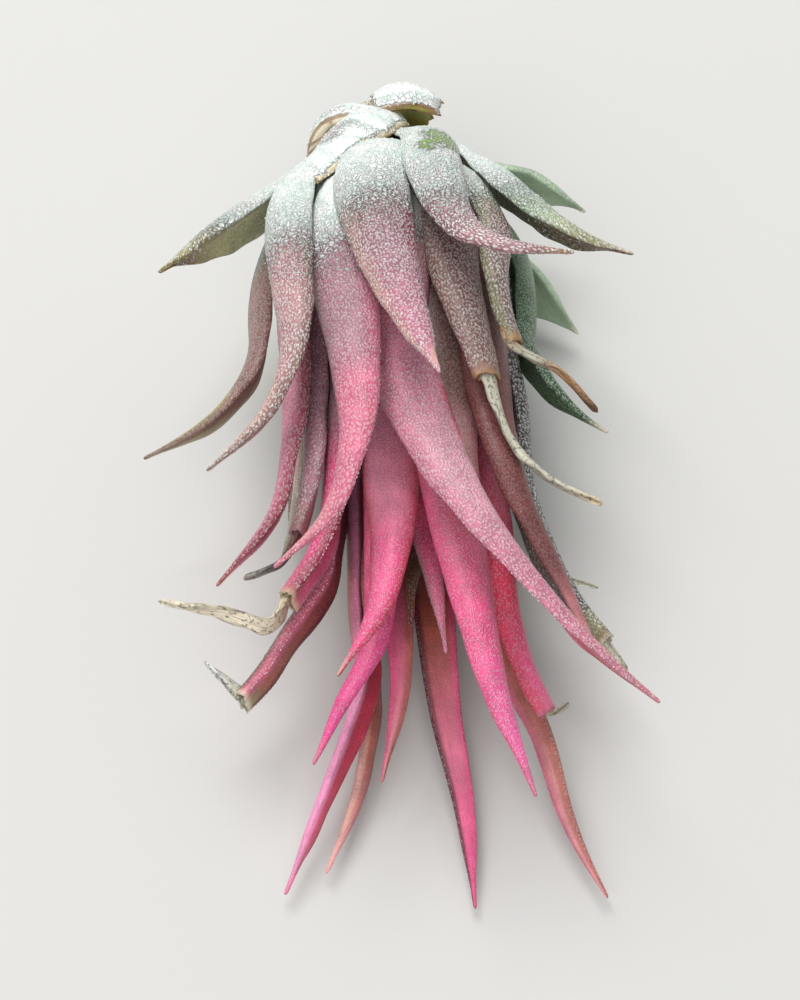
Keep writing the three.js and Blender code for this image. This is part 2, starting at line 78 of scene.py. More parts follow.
RING_ACROSS = np.array([-1, -0.4, 0.4, 1])
SOLID_STEPS = 12  # from ring to ring of a solid leaf

# How the leaves are laid on each other, as the source does it.
SETTLE_GAP = 0.35
SETTLE_STEP = 1.2  # between the sections of a leaf
SETTLE_ROUNDS = 30
SETTLE_REACH = 2.5
SETTLE_ACROSS = np.array([-0.85, -0.45, 0, 0.45, 0.85])  # the places of a section's balls
SETTLE_SHARE = 0.4  # of an overlap, made good in a round
SETTLE_RETURN = 0.98  # what a round keeps of a section's move
SETTLE_TIP_RETURN = 0.85
SETTLE_TIP_FROM = 0.6
SETTLE_ROOTED = 4  # how many sections a leaf's root holds back

# How finely a leaf's surface is made.
RING_STEP = 0.36  # between the rings along a leaf
ROUND = 28  # points round a ring
FACING_EASE = 2.5  # the stretch over which a blade turns to its own face, either side of the neck

# The leaves, from the outermost down, with the values that the source gives them.
LEAVES = [
    dict(name="leaf_right_back", at=2.2, turn=95, wide=3, clasp=0,
         path=[(4, 22, 6.3), (7, 20.7, 6.6), (9.5, 19.7, 6.8), (12, 18.5, 6)]),
    dict(name="leaf_left_high", at=3, turn=-68, wide=3.4, clasp=3,
         path=[(-7.5, 17, 9), (-11, 11, 12), (-14, 7, 13)]),
    dict(name="leaf_right_high", at=3, turn=62, wide=3.6, clasp=3,
         path=[(4.7, 17, 10), (7.5, 12, 13), (10.5, 8.5, 14.2), (13.5, 7.5, 14)]),
    dict(name="leaf_right_low", at=4, turn=122, wide=4, clasp=3,
         path=[(6, 16, 3.8), (9, 14, 3), (11.5, 12, 1.5)]),
    dict(name="leaf_top_hook", at=3.5, turn=24, wide=3.5,
         path=[(1.5, 14, 14), (3, 7, 17), (5.5, 4, 18.5), (9.5, 3.5, 18.5)]),
    dict(name="leaf_left_shoulder", at=4, turn=-44, wide=3.4,
         path=[(-6.2, 13, 12.5), (-6, 4.5, 15), (-5.9, -1, 15.5), (-7.3, -4.2, 14), (-10.5, -6.5, 12)]),
    dict(name="leaf_top_short", at=4.5, turn=-8, wide=4.4,
         path=[(-1.5, 10.5, 15), (0, 1, 18.5), (2, -6.5, 20.5)]),
    dict(name="leaf_left_arched", at=4.5, turn=-85, wide=2.8,
         path=[(-6.4, 7.5, 9), (-7.5, 2.5, 10), (-10.6, -1.8, 10), (-14.5, -3.5, 9)]),
    dict(name="leaf_right_kinked", at=5, turn=48, wide=2,
         path=[(4, 10, 11.5), (4.4, 4.5, 13), (5.9, 1, 13)],
         dry=dict(wide=1, path=[(9, 0, 12.5), (11, -2.5, 12)])),
    dict(name="leaf_right_dark", at=5.5, turn=90, wide=3,
         path=[(5.5, 5.5, 8), (7.5, 2.5, 8.5), (10, 0, 8.5), (12, -1, 8)]),
    dict(name="leaf_under_right", at=5, turn=145, wide=3.6,
         path=[(4.5, 13, 1.2), (5.5, 5, 0.8), (6.5, -2, 1)]),
    dict(name="leaf_under_left", at=5, turn=-140, wide=3.6,
         path=[(-5.5, 13, 1.2), (-6.2, 8, 0.8), (-6.5, 4, 1)]),
    dict(name="leaf_top_left", at=5.5, turn=-25, wide=4.2,
         path=[(-3.7, 8, 14.5), (-2.8, -0.5, 16.5), (-2.5, -7, 16.5), (-3.8, -11.5, 15),
               (-6.5, -13.7, 13.5)]),
    dict(name="leaf_under_middle", at=5.5, turn=178, wide=3.8,
         path=[(-0.5, 12, 1), (0, 4, 0.8), (0.5, -4, 1)]),
    dict(name="leaf_right_withered", at=6, turn=18, wide=3.4,
         path=[(2, 10, 12.5), (3, 4.5, 14), (4, 0.5, 14), (4.5, -1.5, 13.5)],
         dry=dict(wide=1, path=[(6, -4.5, 12.5), (8, -6.5, 11.5), (11, -8, 11)])),
    dict(name="leaf_left_long", at=6.5, turn=-60, wide=3.2,
         path=[(-5.5, 0.5, 11), (-5.8, -4.5, 11.5), (-6.8, -8.5, 10.5), (-9.9, -12, 9)]),
    dict(name="leaf_top_long", at=7, turn=3, wide=4.7,
         path=[(-0.5, 2.5, 13.5), (1, -3.5, 14.5), (3.4, -9.2, 14.5), (6.8, -13.9, 13),
               (10.3, -17.3, 11), (13.4, -19.4, 9.5)]),
    dict(name="leaf_right_grey", at=7, turn=75, wide=2.8,
         path=[(5.5, -1, 7), (7.5, -7.5, 7), (9.7, -11.5, 6), (11.3, -13.5, 5.5)],
         dry=dict(wide=1, path=[(12.5, -15, 5)])),
    dict(name="leaf_under_side", at=7, turn=112, wide=3,
         path=[(5.5, 8, 3.5), (7, 1, 3), (8, -4, 2.5)]),
    dict(name="leaf_left_narrow", at=7.5, turn=-78, wide=2.2,
         path=[(-5, -0.5, 8), (-5.5, -6, 8.5), (-6.5, -10, 8)]),
    dict(name="leaf_low_right", at=7.5, turn=125, wide=2.8,
         path=[(6, -14.5, 4), (7.7, -18.5, 3), (9.3, -23, 1.5), (11, -26.5, 1)]),
    dict(name="leaf_under_deep", at=7.5, turn=-112, wide=3,
         path=[(-5, 6, 3.5), (-6, -1, 3), (-6.5, -6, 2.5)]),
    dict(name="leaf_left_mauve", at=7.8, turn=-50, wide=2.4,
         path=[(-4.5, 0, 10), (-4.5, -5.5, 10.5), (-5.5, -9, 9.5)],
         dry=dict(wide=0.8, path=[(-6.5, -10.5, 9), (-8.5, -11.5, 9)])),
    dict(name="leaf_left_snapped", at=8.5, turn=-32, wide=3.9,
         path=[(-2.5, 0, 10.5), (-3, -6.5, 9.5), (-4.2, -10, 9), (-5.7, -12.7, 8.5)],
         dry=dict(wide=1, path=[(-7, -14, 8.5), (-10, -13.5, 9), (-13, -13, 9)])),
    dict(name="leaf_low_brown", at=8, turn=-160, wide=2.4, face=-130,
         path=[(-1, -10, 3), (-0.9, -16.5, 2.5), (-2.1, -20.8, 1.5), (-3.9, -25.1, 1)]),
    dict(name="leaf_right_brown", at=8.5, turn=38, wide=3.8, face=35,
         path=[(3.5, 0, 10), (5.5, -6, 10.5), (8, -10.5, 9.5), (10.5, -15, 7.5)]),
    dict(name="leaf_left_folded", at=9, turn=-85, wide=2.8, face=-95,
         path=[(-3, -2, 7), (-3.6, -9, 6), (-5.8, -12.6, 6), (-7.5, -15.5, 5.5), (-8.6, -17.1, 5.5)],
         dry=dict(wide=1, path=[(-8.5, -17, 5.5), (-10.5, -15.5, 7)])),
    dict(name="leaf_low_front", at=8.5, turn=165, wide=3.4, face=178,
         path=[(2, -11, 4), (2.5, -16, 2.5), (3.5, -21.5, 1.5), (4, -27, 0.8)]),
    dict(name="leaf_low_left", at=8.5, turn=-130, wide=3.5, face=-115,
         path=[(-1, -13.5, 4.5), (-3, -18, 3), (-4.6, -22.5, 2), (-6.1, -26.3, 1)]),
    dict(name="leaf_front_bright", at=9, turn=20, wide=4.7, face=12,
         path=[(2.4, -5.5, 10), (3.7, -13, 10.5), (5, -19, 10), (6.9, -24, 8)]),
    dict(name="leaf_front_middle", at=9.5, turn=-5, wide=4.5, face=-8,
         path=[(-0.7, 2, 12), (-0.9, -4.5, 12.5), (-0.7, -10, 12.5), (-1.2, -15, 12), (-3.2, -18.7, 11)]),
    dict(name="leaf_front_red", at=9.5, turn=60, wide=2.6, face=35,
         path=[(5, -8.5, 7), (6.6, -13.5, 6), (8.7, -17, 5)],
         dry=dict(wide=0.7, path=[(9.2, -17, 5)])),
    dict(name="leaf_left_shaded", at=10, turn=-80, wide=2.2, face=-110,
         path=[(-2.5, -4, 6), (-3, -9, 5), (-3, -13.5, 4)]),
    dict(name="leaf_right_spike", at=10, turn=85, wide=1.6,
         path=[(5, -3, 5.5), (7.5, -7.5, 5.5)],
         dry=dict(wide=0.6, path=[(9, -9, 5.3), (11.2, -9.6, 5)])),
    dict(name="leaf_front_pink", at=10.5, turn=-12, wide=3.1, face=-5,
         path=[(-1, -8, 9), (-1.5, -15, 8), (-3, -18.2, 7.5), (-4.5, -21.7, 7)]),
    dict(name="leaf_inner_right", at=11, turn=12, wide=2.4, face=10,
         path=[(1.5, -7.5, 8.5), (2, -11.5, 8), (2.5, -15, 7)]),
    dict(name="leaf_inner_low", at=11.5, turn=180, wide=2.6, face=180,
         path=[(0, -5, 6), (0, -12.5, 5.5), (0, -16, 4.5), (-1, -20.5, 2.5)]),
    dict(name="leaf_inner_tip", at=12, turn=0, wide=1.6, face=0,
         path=[(0.5, -5, 8), (0.5, -9.5, 7.5), (0.5, -13, 7)]),
]


def unit(v):
    return v / np.linalg.norm(v, axis=-1, keepdims=True)


def dot(a, b):
    return np.sum(a * b, axis=-1, keepdims=True)


def smooth(low, high, x):
    """The S-shaped step 3x^2 - 2x^3 from 0 at low to 1 at high."""
    x = np.clip((np.asarray(x, float) - low) / (high - low), 0, 1)
    return x * x * (3 - 2 * x)


def mix(a, b, share):
    return a + (b - a) * share


TIPWARD = unit(STEM_AIM - STEM_END)
ABOVE = unit(np.array([0, 0, 1.0]) - TIPWARD[2] * TIPWARD)
RIGHTWARD = unit(np.cross(ABOVE, TIPWARD))


def axis_point(along):
    return STEM_END + np.asarray(along, float)[..., None] * TIPWARD


def outward(turn):
    """The direction away from the plant's axis at an angle round it, in degrees from straight up."""
    a = math.radians(turn)
    return ABOVE * math.cos(a) + RIGHTWARD * math.sin(a)


class Line:
    """A smooth line through points: centripetal Catmull-Rom, one cubic for each span. It is read
    by the share of its length, which 200 equal steps of its own parameter measure."""

    STEPS = 200
    STEP_ASIDE = 1e-4  # of the parameter, for the tangent

    def __init__(self, points):
        p = np.asarray(points, float)
        p = np.vstack([2 * p[0] - p[1], p, 2 * p[-1] - p[-2]])
        knots = np.sum(np.diff(p, axis=0) ** 2, axis=1, keepdims=True) ** 0.25
        a, b, c = knots[:-2], knots[1:-1], knots[2:]
        q0, q1, q2, q3 = p[:-3], p[1:-2], p[2:-1], p[3:]
        leave = ((q1 - q0) / a - (q2 - q0) / (a + b) + (q2 - q1) / b) * b
        arrive = ((q2 - q1) / b - (q3 - q1) / (b + c) + (q3 - q2) / c) * b
        self.cubic = (q1, leave, 3 * (q2 - q1) - 2 * leave - arrive, 2 * (q1 - q2) + leave + arrive)
        self.marks = np.linspace(0, 1, self.STEPS + 1)
        steps = np.linalg.norm(np.diff(self.read(self.marks), axis=0), axis=1)
        self.runs = np.concatenate([[0], np.cumsum(steps)])
        self.length = self.runs[-1]

    def read(self, t):
        place = np.clip(t, 0, 1) * len(self.cubic[0])
        span = np.minimum(place.astype(int), len(self.cubic[0]) - 1)
        w = (place - span)[:, None]
        c0, c1, c2, c3 = (c[span] for c in self.cubic)
        return c0 + w * (c1 + w * (c2 + w * c3))

    def parameter(self, share):
        return np.interp(np.asarray(share) * self.length, self.runs, self.marks)

    def point(self, share):
        return self.read(self.parameter(share))

    def tangent(self, share):
        t = self.parameter(share)
        return unit(self.read(t + self.STEP_ASIDE) - self.read(t - self.STEP_ASIDE))


def midrib(leaf):
    """The first course of a leaf: along the bundle of bases, whose radius squared grows evenly
    up the stem, and then along its path."""
    seat = mix(STEM_RADIUS, STEM_TOP_RADIUS, leaf["at"] / STEM_LENGTH) + SEAT_GAP + SHEATH_THICKNESS / 2
    rises = np.array([r for r in SHEATH_RISES if r <= leaf.get("clasp", SHEATH_LENGTH)], float)
    radius = np.sqrt(seat * seat + BASES_AREA * rises)[:, None]
    sheath = axis_point(leaf["at"] + rises) + radius * outward(leaf["turn"])
    return Line(np.vstack([sheath, leaf["path"]]))


def frames(leaf, points, tangents, on_blade):
    """The way a leaf's outside faces and its sideways direction, for each point of its midrib."""
    along = dot(points - STEM_END, TIPWARD)
    away = points - STEM_END - along * TIPWARD
    distance = np.linalg.norm(away, axis=1)
    out = unit(away + TURN_WEIGHT * outward(leaf["turn"]))
    if "face" in leaf:
        out = unit(mix(out, outward(leaf["face"]), on_blade[:, None]))
    out = out - LEAN_BACK * TIPWARD
    out = unit(out - dot(out, tangents) * tangents)
    return out, np.cross(tangents, out), distance


def sections(leaf, line, share, ease=0):
    """Where a leaf's sections are, how they are turned and their sizes. ease is half the stretch
    over which the blade turns to its own face."""
    s = share * line.length
    centre = line.point(share)
    sheath = min(SHEATH_LENGTH, SHEATH_SHARE_MOST * line.length)
    neck_length = min(NECK_LENGTH, NECK_SHARE_MOST * line.length)
    on_blade = smooth(sheath - ease, sheath + ease, s) if ease else (s > sheath).astype(float)
    out, side, distance = frames(leaf, centre, line.tangent(share), on_blade)
    neck = smooth(sheath - neck_length / 2, sheath + neck_length / 2, s)
    taper_from = sheath + neck_length
    taper = np.maximum(0, (s - taper_from) / (line.length - taper_from))
    end_width = leaf["wide"] * DRY_END_SHARE if "dry" in leaf else TIP_WIDTH
    blade_width = mix(leaf["wide"], end_width, taper ** TAPER_POWER)
    half_width = mix(leaf["wide"] * SHEATH_SPREAD, blade_width, neck) / 2
    end_thickness = TORN_THICKNESS if "dry" in leaf else TIP_THICKNESS
    blade_thickness = mix(BLADE_THICKNESS, end_thickness, taper * taper)
    half_thickness = mix(SHEATH_THICKNESS, blade_thickness, neck) / 2
    arc = mix(np.minimum(SHEATH_ARC_MOST, half_width / distance), BLADE_ARC, neck)
    arc_most = np.arcsin(np.minimum(1, half_width / (BEND_LEAST * half_thickness)))
    return dict(centre=centre, out=out, side=side, half_width=half_width,
                half_thickness=half_thickness, arc=np.minimum(arc, arc_most), s=s)


def thinning(across):
    return 1 - (1 - EDGE_SHARE) * across * across


def section_points(sec, across, face):
    """Points of crescent sections, one row a section. across runs from -1 at one edge to 1 at
    the other. face is 1 on the outside and -1 on the inside. Both faces are arcs about one
    middle, which lies half_width / sin(arc) below the midrib."""
    arc = sec["arc"][:, None]
    radius = sec["half_width"][:, None] / np.sin(arc)
    r = radius + face * sec["half_thickness"][:, None] * thinning(across)
    lift = (r * np.cos(across * arc) - radius)[..., None]
    shift = (r * np.sin(across * arc))[..., None]
    return sec["centre"][:, None] + lift * sec["out"][:, None] + shift * sec["side"][:, None]


def evened(values):
    """The mean of each value and its neighbours, weighted 1, 2, 3, 2, 1."""
    padded = np.pad(values, 2, mode="edge")
    parts = [weight * padded[i:i + len(values)] for i, weight in enumerate((1, 2, 3, 2, 1))]
    return sum(parts) / 9


def settle(leaves):
    """Lays the leaves on each other as the source does. Balls across each leaf's sections push
    those of the other leaves: the leaf that grows lower goes outwards, the other one inwards."""
    rows = []
    for leaf in leaves:
        line = midrib(leaf)
        steps = math.ceil(line.length / SETTLE_STEP)
        rows.append(sections(leaf, line, np.arange(steps + 1) / steps))
    owner = np.concatenate([np.full(len(row["s"]), r) for r, row in enumerate(rows)])
    owner = np.repeat(owner, len(SETTLE_ACROSS))
    start = np.vstack([section_points(row, SETTLE_ACROSS, 0).reshape(-1, 3) for row in rows])
    out = np.repeat(np.vstack([row["out"] for row in rows]), len(SETTLE_ACROSS), axis=0)
    sizes = [row["half_thickness"][:, None] * thinning(SETTLE_ACROSS) for row in rows]
    size = np.concatenate([part.ravel() for part in sizes])
    ends = np.cumsum([len(row["s"]) for row in rows])
    moves = np.zeros(ends[-1])
    spans = [slice(b - len(row["s"]), b) for b, row in zip(ends, rows)]
    for _ in range(SETTLE_ROUNDS):
        at = start + np.repeat(moves, len(SETTLE_ACROSS))[:, None] * out
        push = feel(owner, at, out, size)
        for leaf, span in zip(leaves, spans):
            i = np.arange(span.stop - span.start)
            kept = mix(SETTLE_RETURN, SETTLE_TIP_RETURN, smooth(SETTLE_TIP_FROM, 1, i / i[-1]))
            wanted = evened(kept * moves[span] + SETTLE_SHARE * push[span])
            free = 0 if leaf.get("clasp") == 0 else 1
            moves[span] = free * np.minimum(1, i / SETTLE_ROOTED) * wanted
    for leaf, row, span in zip(leaves, rows, spans):
        row["centre"] = row["centre"] + moves[span][:, None] * row["out"]
        lowest = ring_points(row)[..., 2].min(axis=1)
        row["centre"][:, 2] += np.maximum(0, -FLAT_DEPTH - lowest)
        leaf["line"] = Line(row["centre"])


def neighbours(at):
    """Pairs of points whose cells of SETTLE_REACH touch. The points are sorted by a number for
    their cell, in which cells that follow each other in z follow each other too."""
    cell = np.floor(at / SETTLE_REACH).astype(int)
    cell -= cell.min(axis=0) - 1
    row = cell[:, 2].max() + 2
    column = row * (cell[:, 1].max() + 2)
    key = cell @ [column, row, 1]
    order = np.argsort(key, kind="stable")
    ranked = key[order]
    first, second = [], []
    for step in [i * column + j * row for i in (-1, 0, 1) for j in (-1, 0, 1)]:
        start = np.searchsorted(ranked, key + step - 1, "left")
        count = np.searchsorted(ranked, key + step + 1, "right") - start
        ends = np.cumsum(count)
        place = np.arange(ends[-1]) + np.repeat(start - ends + count, count)
        first.append(np.repeat(np.arange(len(at)), count))
        second.append(order[place])
    return np.concatenate(first), np.concatenate(second)


def feel(owner, at, out, size):
    """How far the others push each section, outwards positive: the deepest overlap with a leaf
    above it less the deepest with a leaf below it."""
    low, up = neighbours(at)
    above = owner[up] > owner[low]
    low, up = low[above], up[above]
    apart = at[low] - at[up]
    ahead = np.sum(apart * out[low], axis=1)
    need = size[low] + size[up] + SETTLE_GAP
    beside = np.sum(apart * apart, axis=1) - ahead * ahead
    felt = (beside <= need * need) & (ahead >= -SETTLE_REACH)
    overlap = np.sqrt(np.maximum(0, need * need - beside)) - ahead
    overlap = np.where(felt, np.maximum(overlap, 0), 0)
    outwards = np.zeros(len(at))
    inwards = np.zeros(len(at))
    np.maximum.at(outwards, low, overlap)
    np.maximum.at(inwards, up, overlap)
    count = len(SETTLE_ACROSS)
    return outwards.reshape(-1, count).max(1) - inwards.reshape(-1, count).max(1)


def ring_points(sec):
    outer = section_points(sec, RING_ACROSS, 1)
    return np.concatenate([outer, section_points(sec, RING_ACROSS, -1)], axis=1)


def centring():
    """How far the source moved the finished plant to put its origin under its middle: the packed
    leaves that reach furthest left and furthest down are compared with those worked out here."""
    moved = np.zeros(3)
    for axis, name in ((0, "leaf_left_high"), (1, "leaf_low_front")):
        leaf = next(leaf for leaf in LEAVES if leaf["name"] == name)
        share = np.arange(SOLID_STEPS + 1) / SOLID_STEPS
        rings = ring_points(sections(leaf, leaf["line"], share))
        moved[axis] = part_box(name)[0][axis] / MM - rings[..., axis].min()
    return moved


settle(LEAVES)
CENTRING = centring()

# Colours, as sRGB hex values.
PALETTE = dict(
    chalk="f2f2ee", mint="dbe8e0", bone="cdc9b4", cream="e9dcc2", straw="dcc8a2", tan="c09468",
    umber="6a4a30", bark="33261d", ash="a39c92", slate="5a5450", olive="9a9040", moss="5a5626",
    lime="8fb24c", sage="a3b898", leaf_green="7a9a72", bottle="2a5226", khaki="a8a478",
    taupe="8d6c64", mauve="a67380", plum="74424e", dusty_rose="c08a8c", rose="cf7a92",
    blush="e29cac", coral="d66a86", hot_pink="e05586", bright_pink="ea66a0", magenta="e84c90",
    crimson="cb3352", wine="8c2a3c", maroon="5c2029", brick="b0604f", salmon="dc8c90",
    paper="cbc9c5", sepia="8a6a45", peach="dba798", cocoa="744f48", fern="4c7446",
    # The pale olive yellow on the next line is painted lighter than the tissue's own olive: painted light
    # on inner faces lit through the thin leaf or lying in shade.
    # The pale rose on the next line is a rose painted lighter: painted light on blades that lie in the
    # shade of their neighbours.
    pistachio="d8d494", petal="e48cb2", russet="743c3a", shell="ea8ca6", wax="c8c088",
)


def tone(name):
    """A palette colour as linear light: each channel of the hex value through the sRGB curve."""
    value = np.array([int(PALETTE[name][i:i + 2], 16) for i in (0, 2, 4)]) / 255
    return np.where(value <= 0.04045, value / 12.92, ((value + 0.055) / 1.055) ** 2.4)


def rgba(name):
    return (*tone(name), 1)


def stops(run, t):
    """Colour at t along a leaf, eased from each mark to the next. A run gives the marks, such as
    "0.3 mint 0.9 cream": a share of the leaf's length, the colour there, and so on."""
    words = run.split()
    places = np.array([-1, *map(float, words[::2])])
    tones = np.array([tone(name) for name in (words[1], *words[1::2])])
    i = np.clip(np.searchsorted(places, t) - 1, 0, len(places) - 2)
    share = smooth(0, 1, (t - places[i]) / (places[i + 1] - places[i]))
    return mix(tones[i], tones[i + 1], share[..., None])


def look(outer, inner=None, rims=(None, None), rim_from=0.35, crust=(0.1, 0.2), scales=(5, 3),
         white=0.35, size=0.6, beads=(0, 0), patches=(), strap=None):
    """How a leaf looks. outer and inner are the runs of colour of its two faces, and strap is that
    of its withered end. rims are the colours of its left and right edge, which come in from
    rim_from, a share of the way from the middle to the edge. crust is where the white crust starts
    to break and where it is gone. scales is how many raised scales stand on a square millimetre,
    low on the blade and at its tip, white is how white they are and size how large. beads is how
    white the row of scales along the left and right edge is. A patch is (share along, place
    across, its reach both ways, colour, the share of scales and crust that is rubbed off it)."""
    return dict(outer=outer, inner=inner or outer, rims=rims, rim_from=rim_from, crust=crust,
                scales=scales, white=white, size=size, beads=beads, patches=patches, strap=strap)


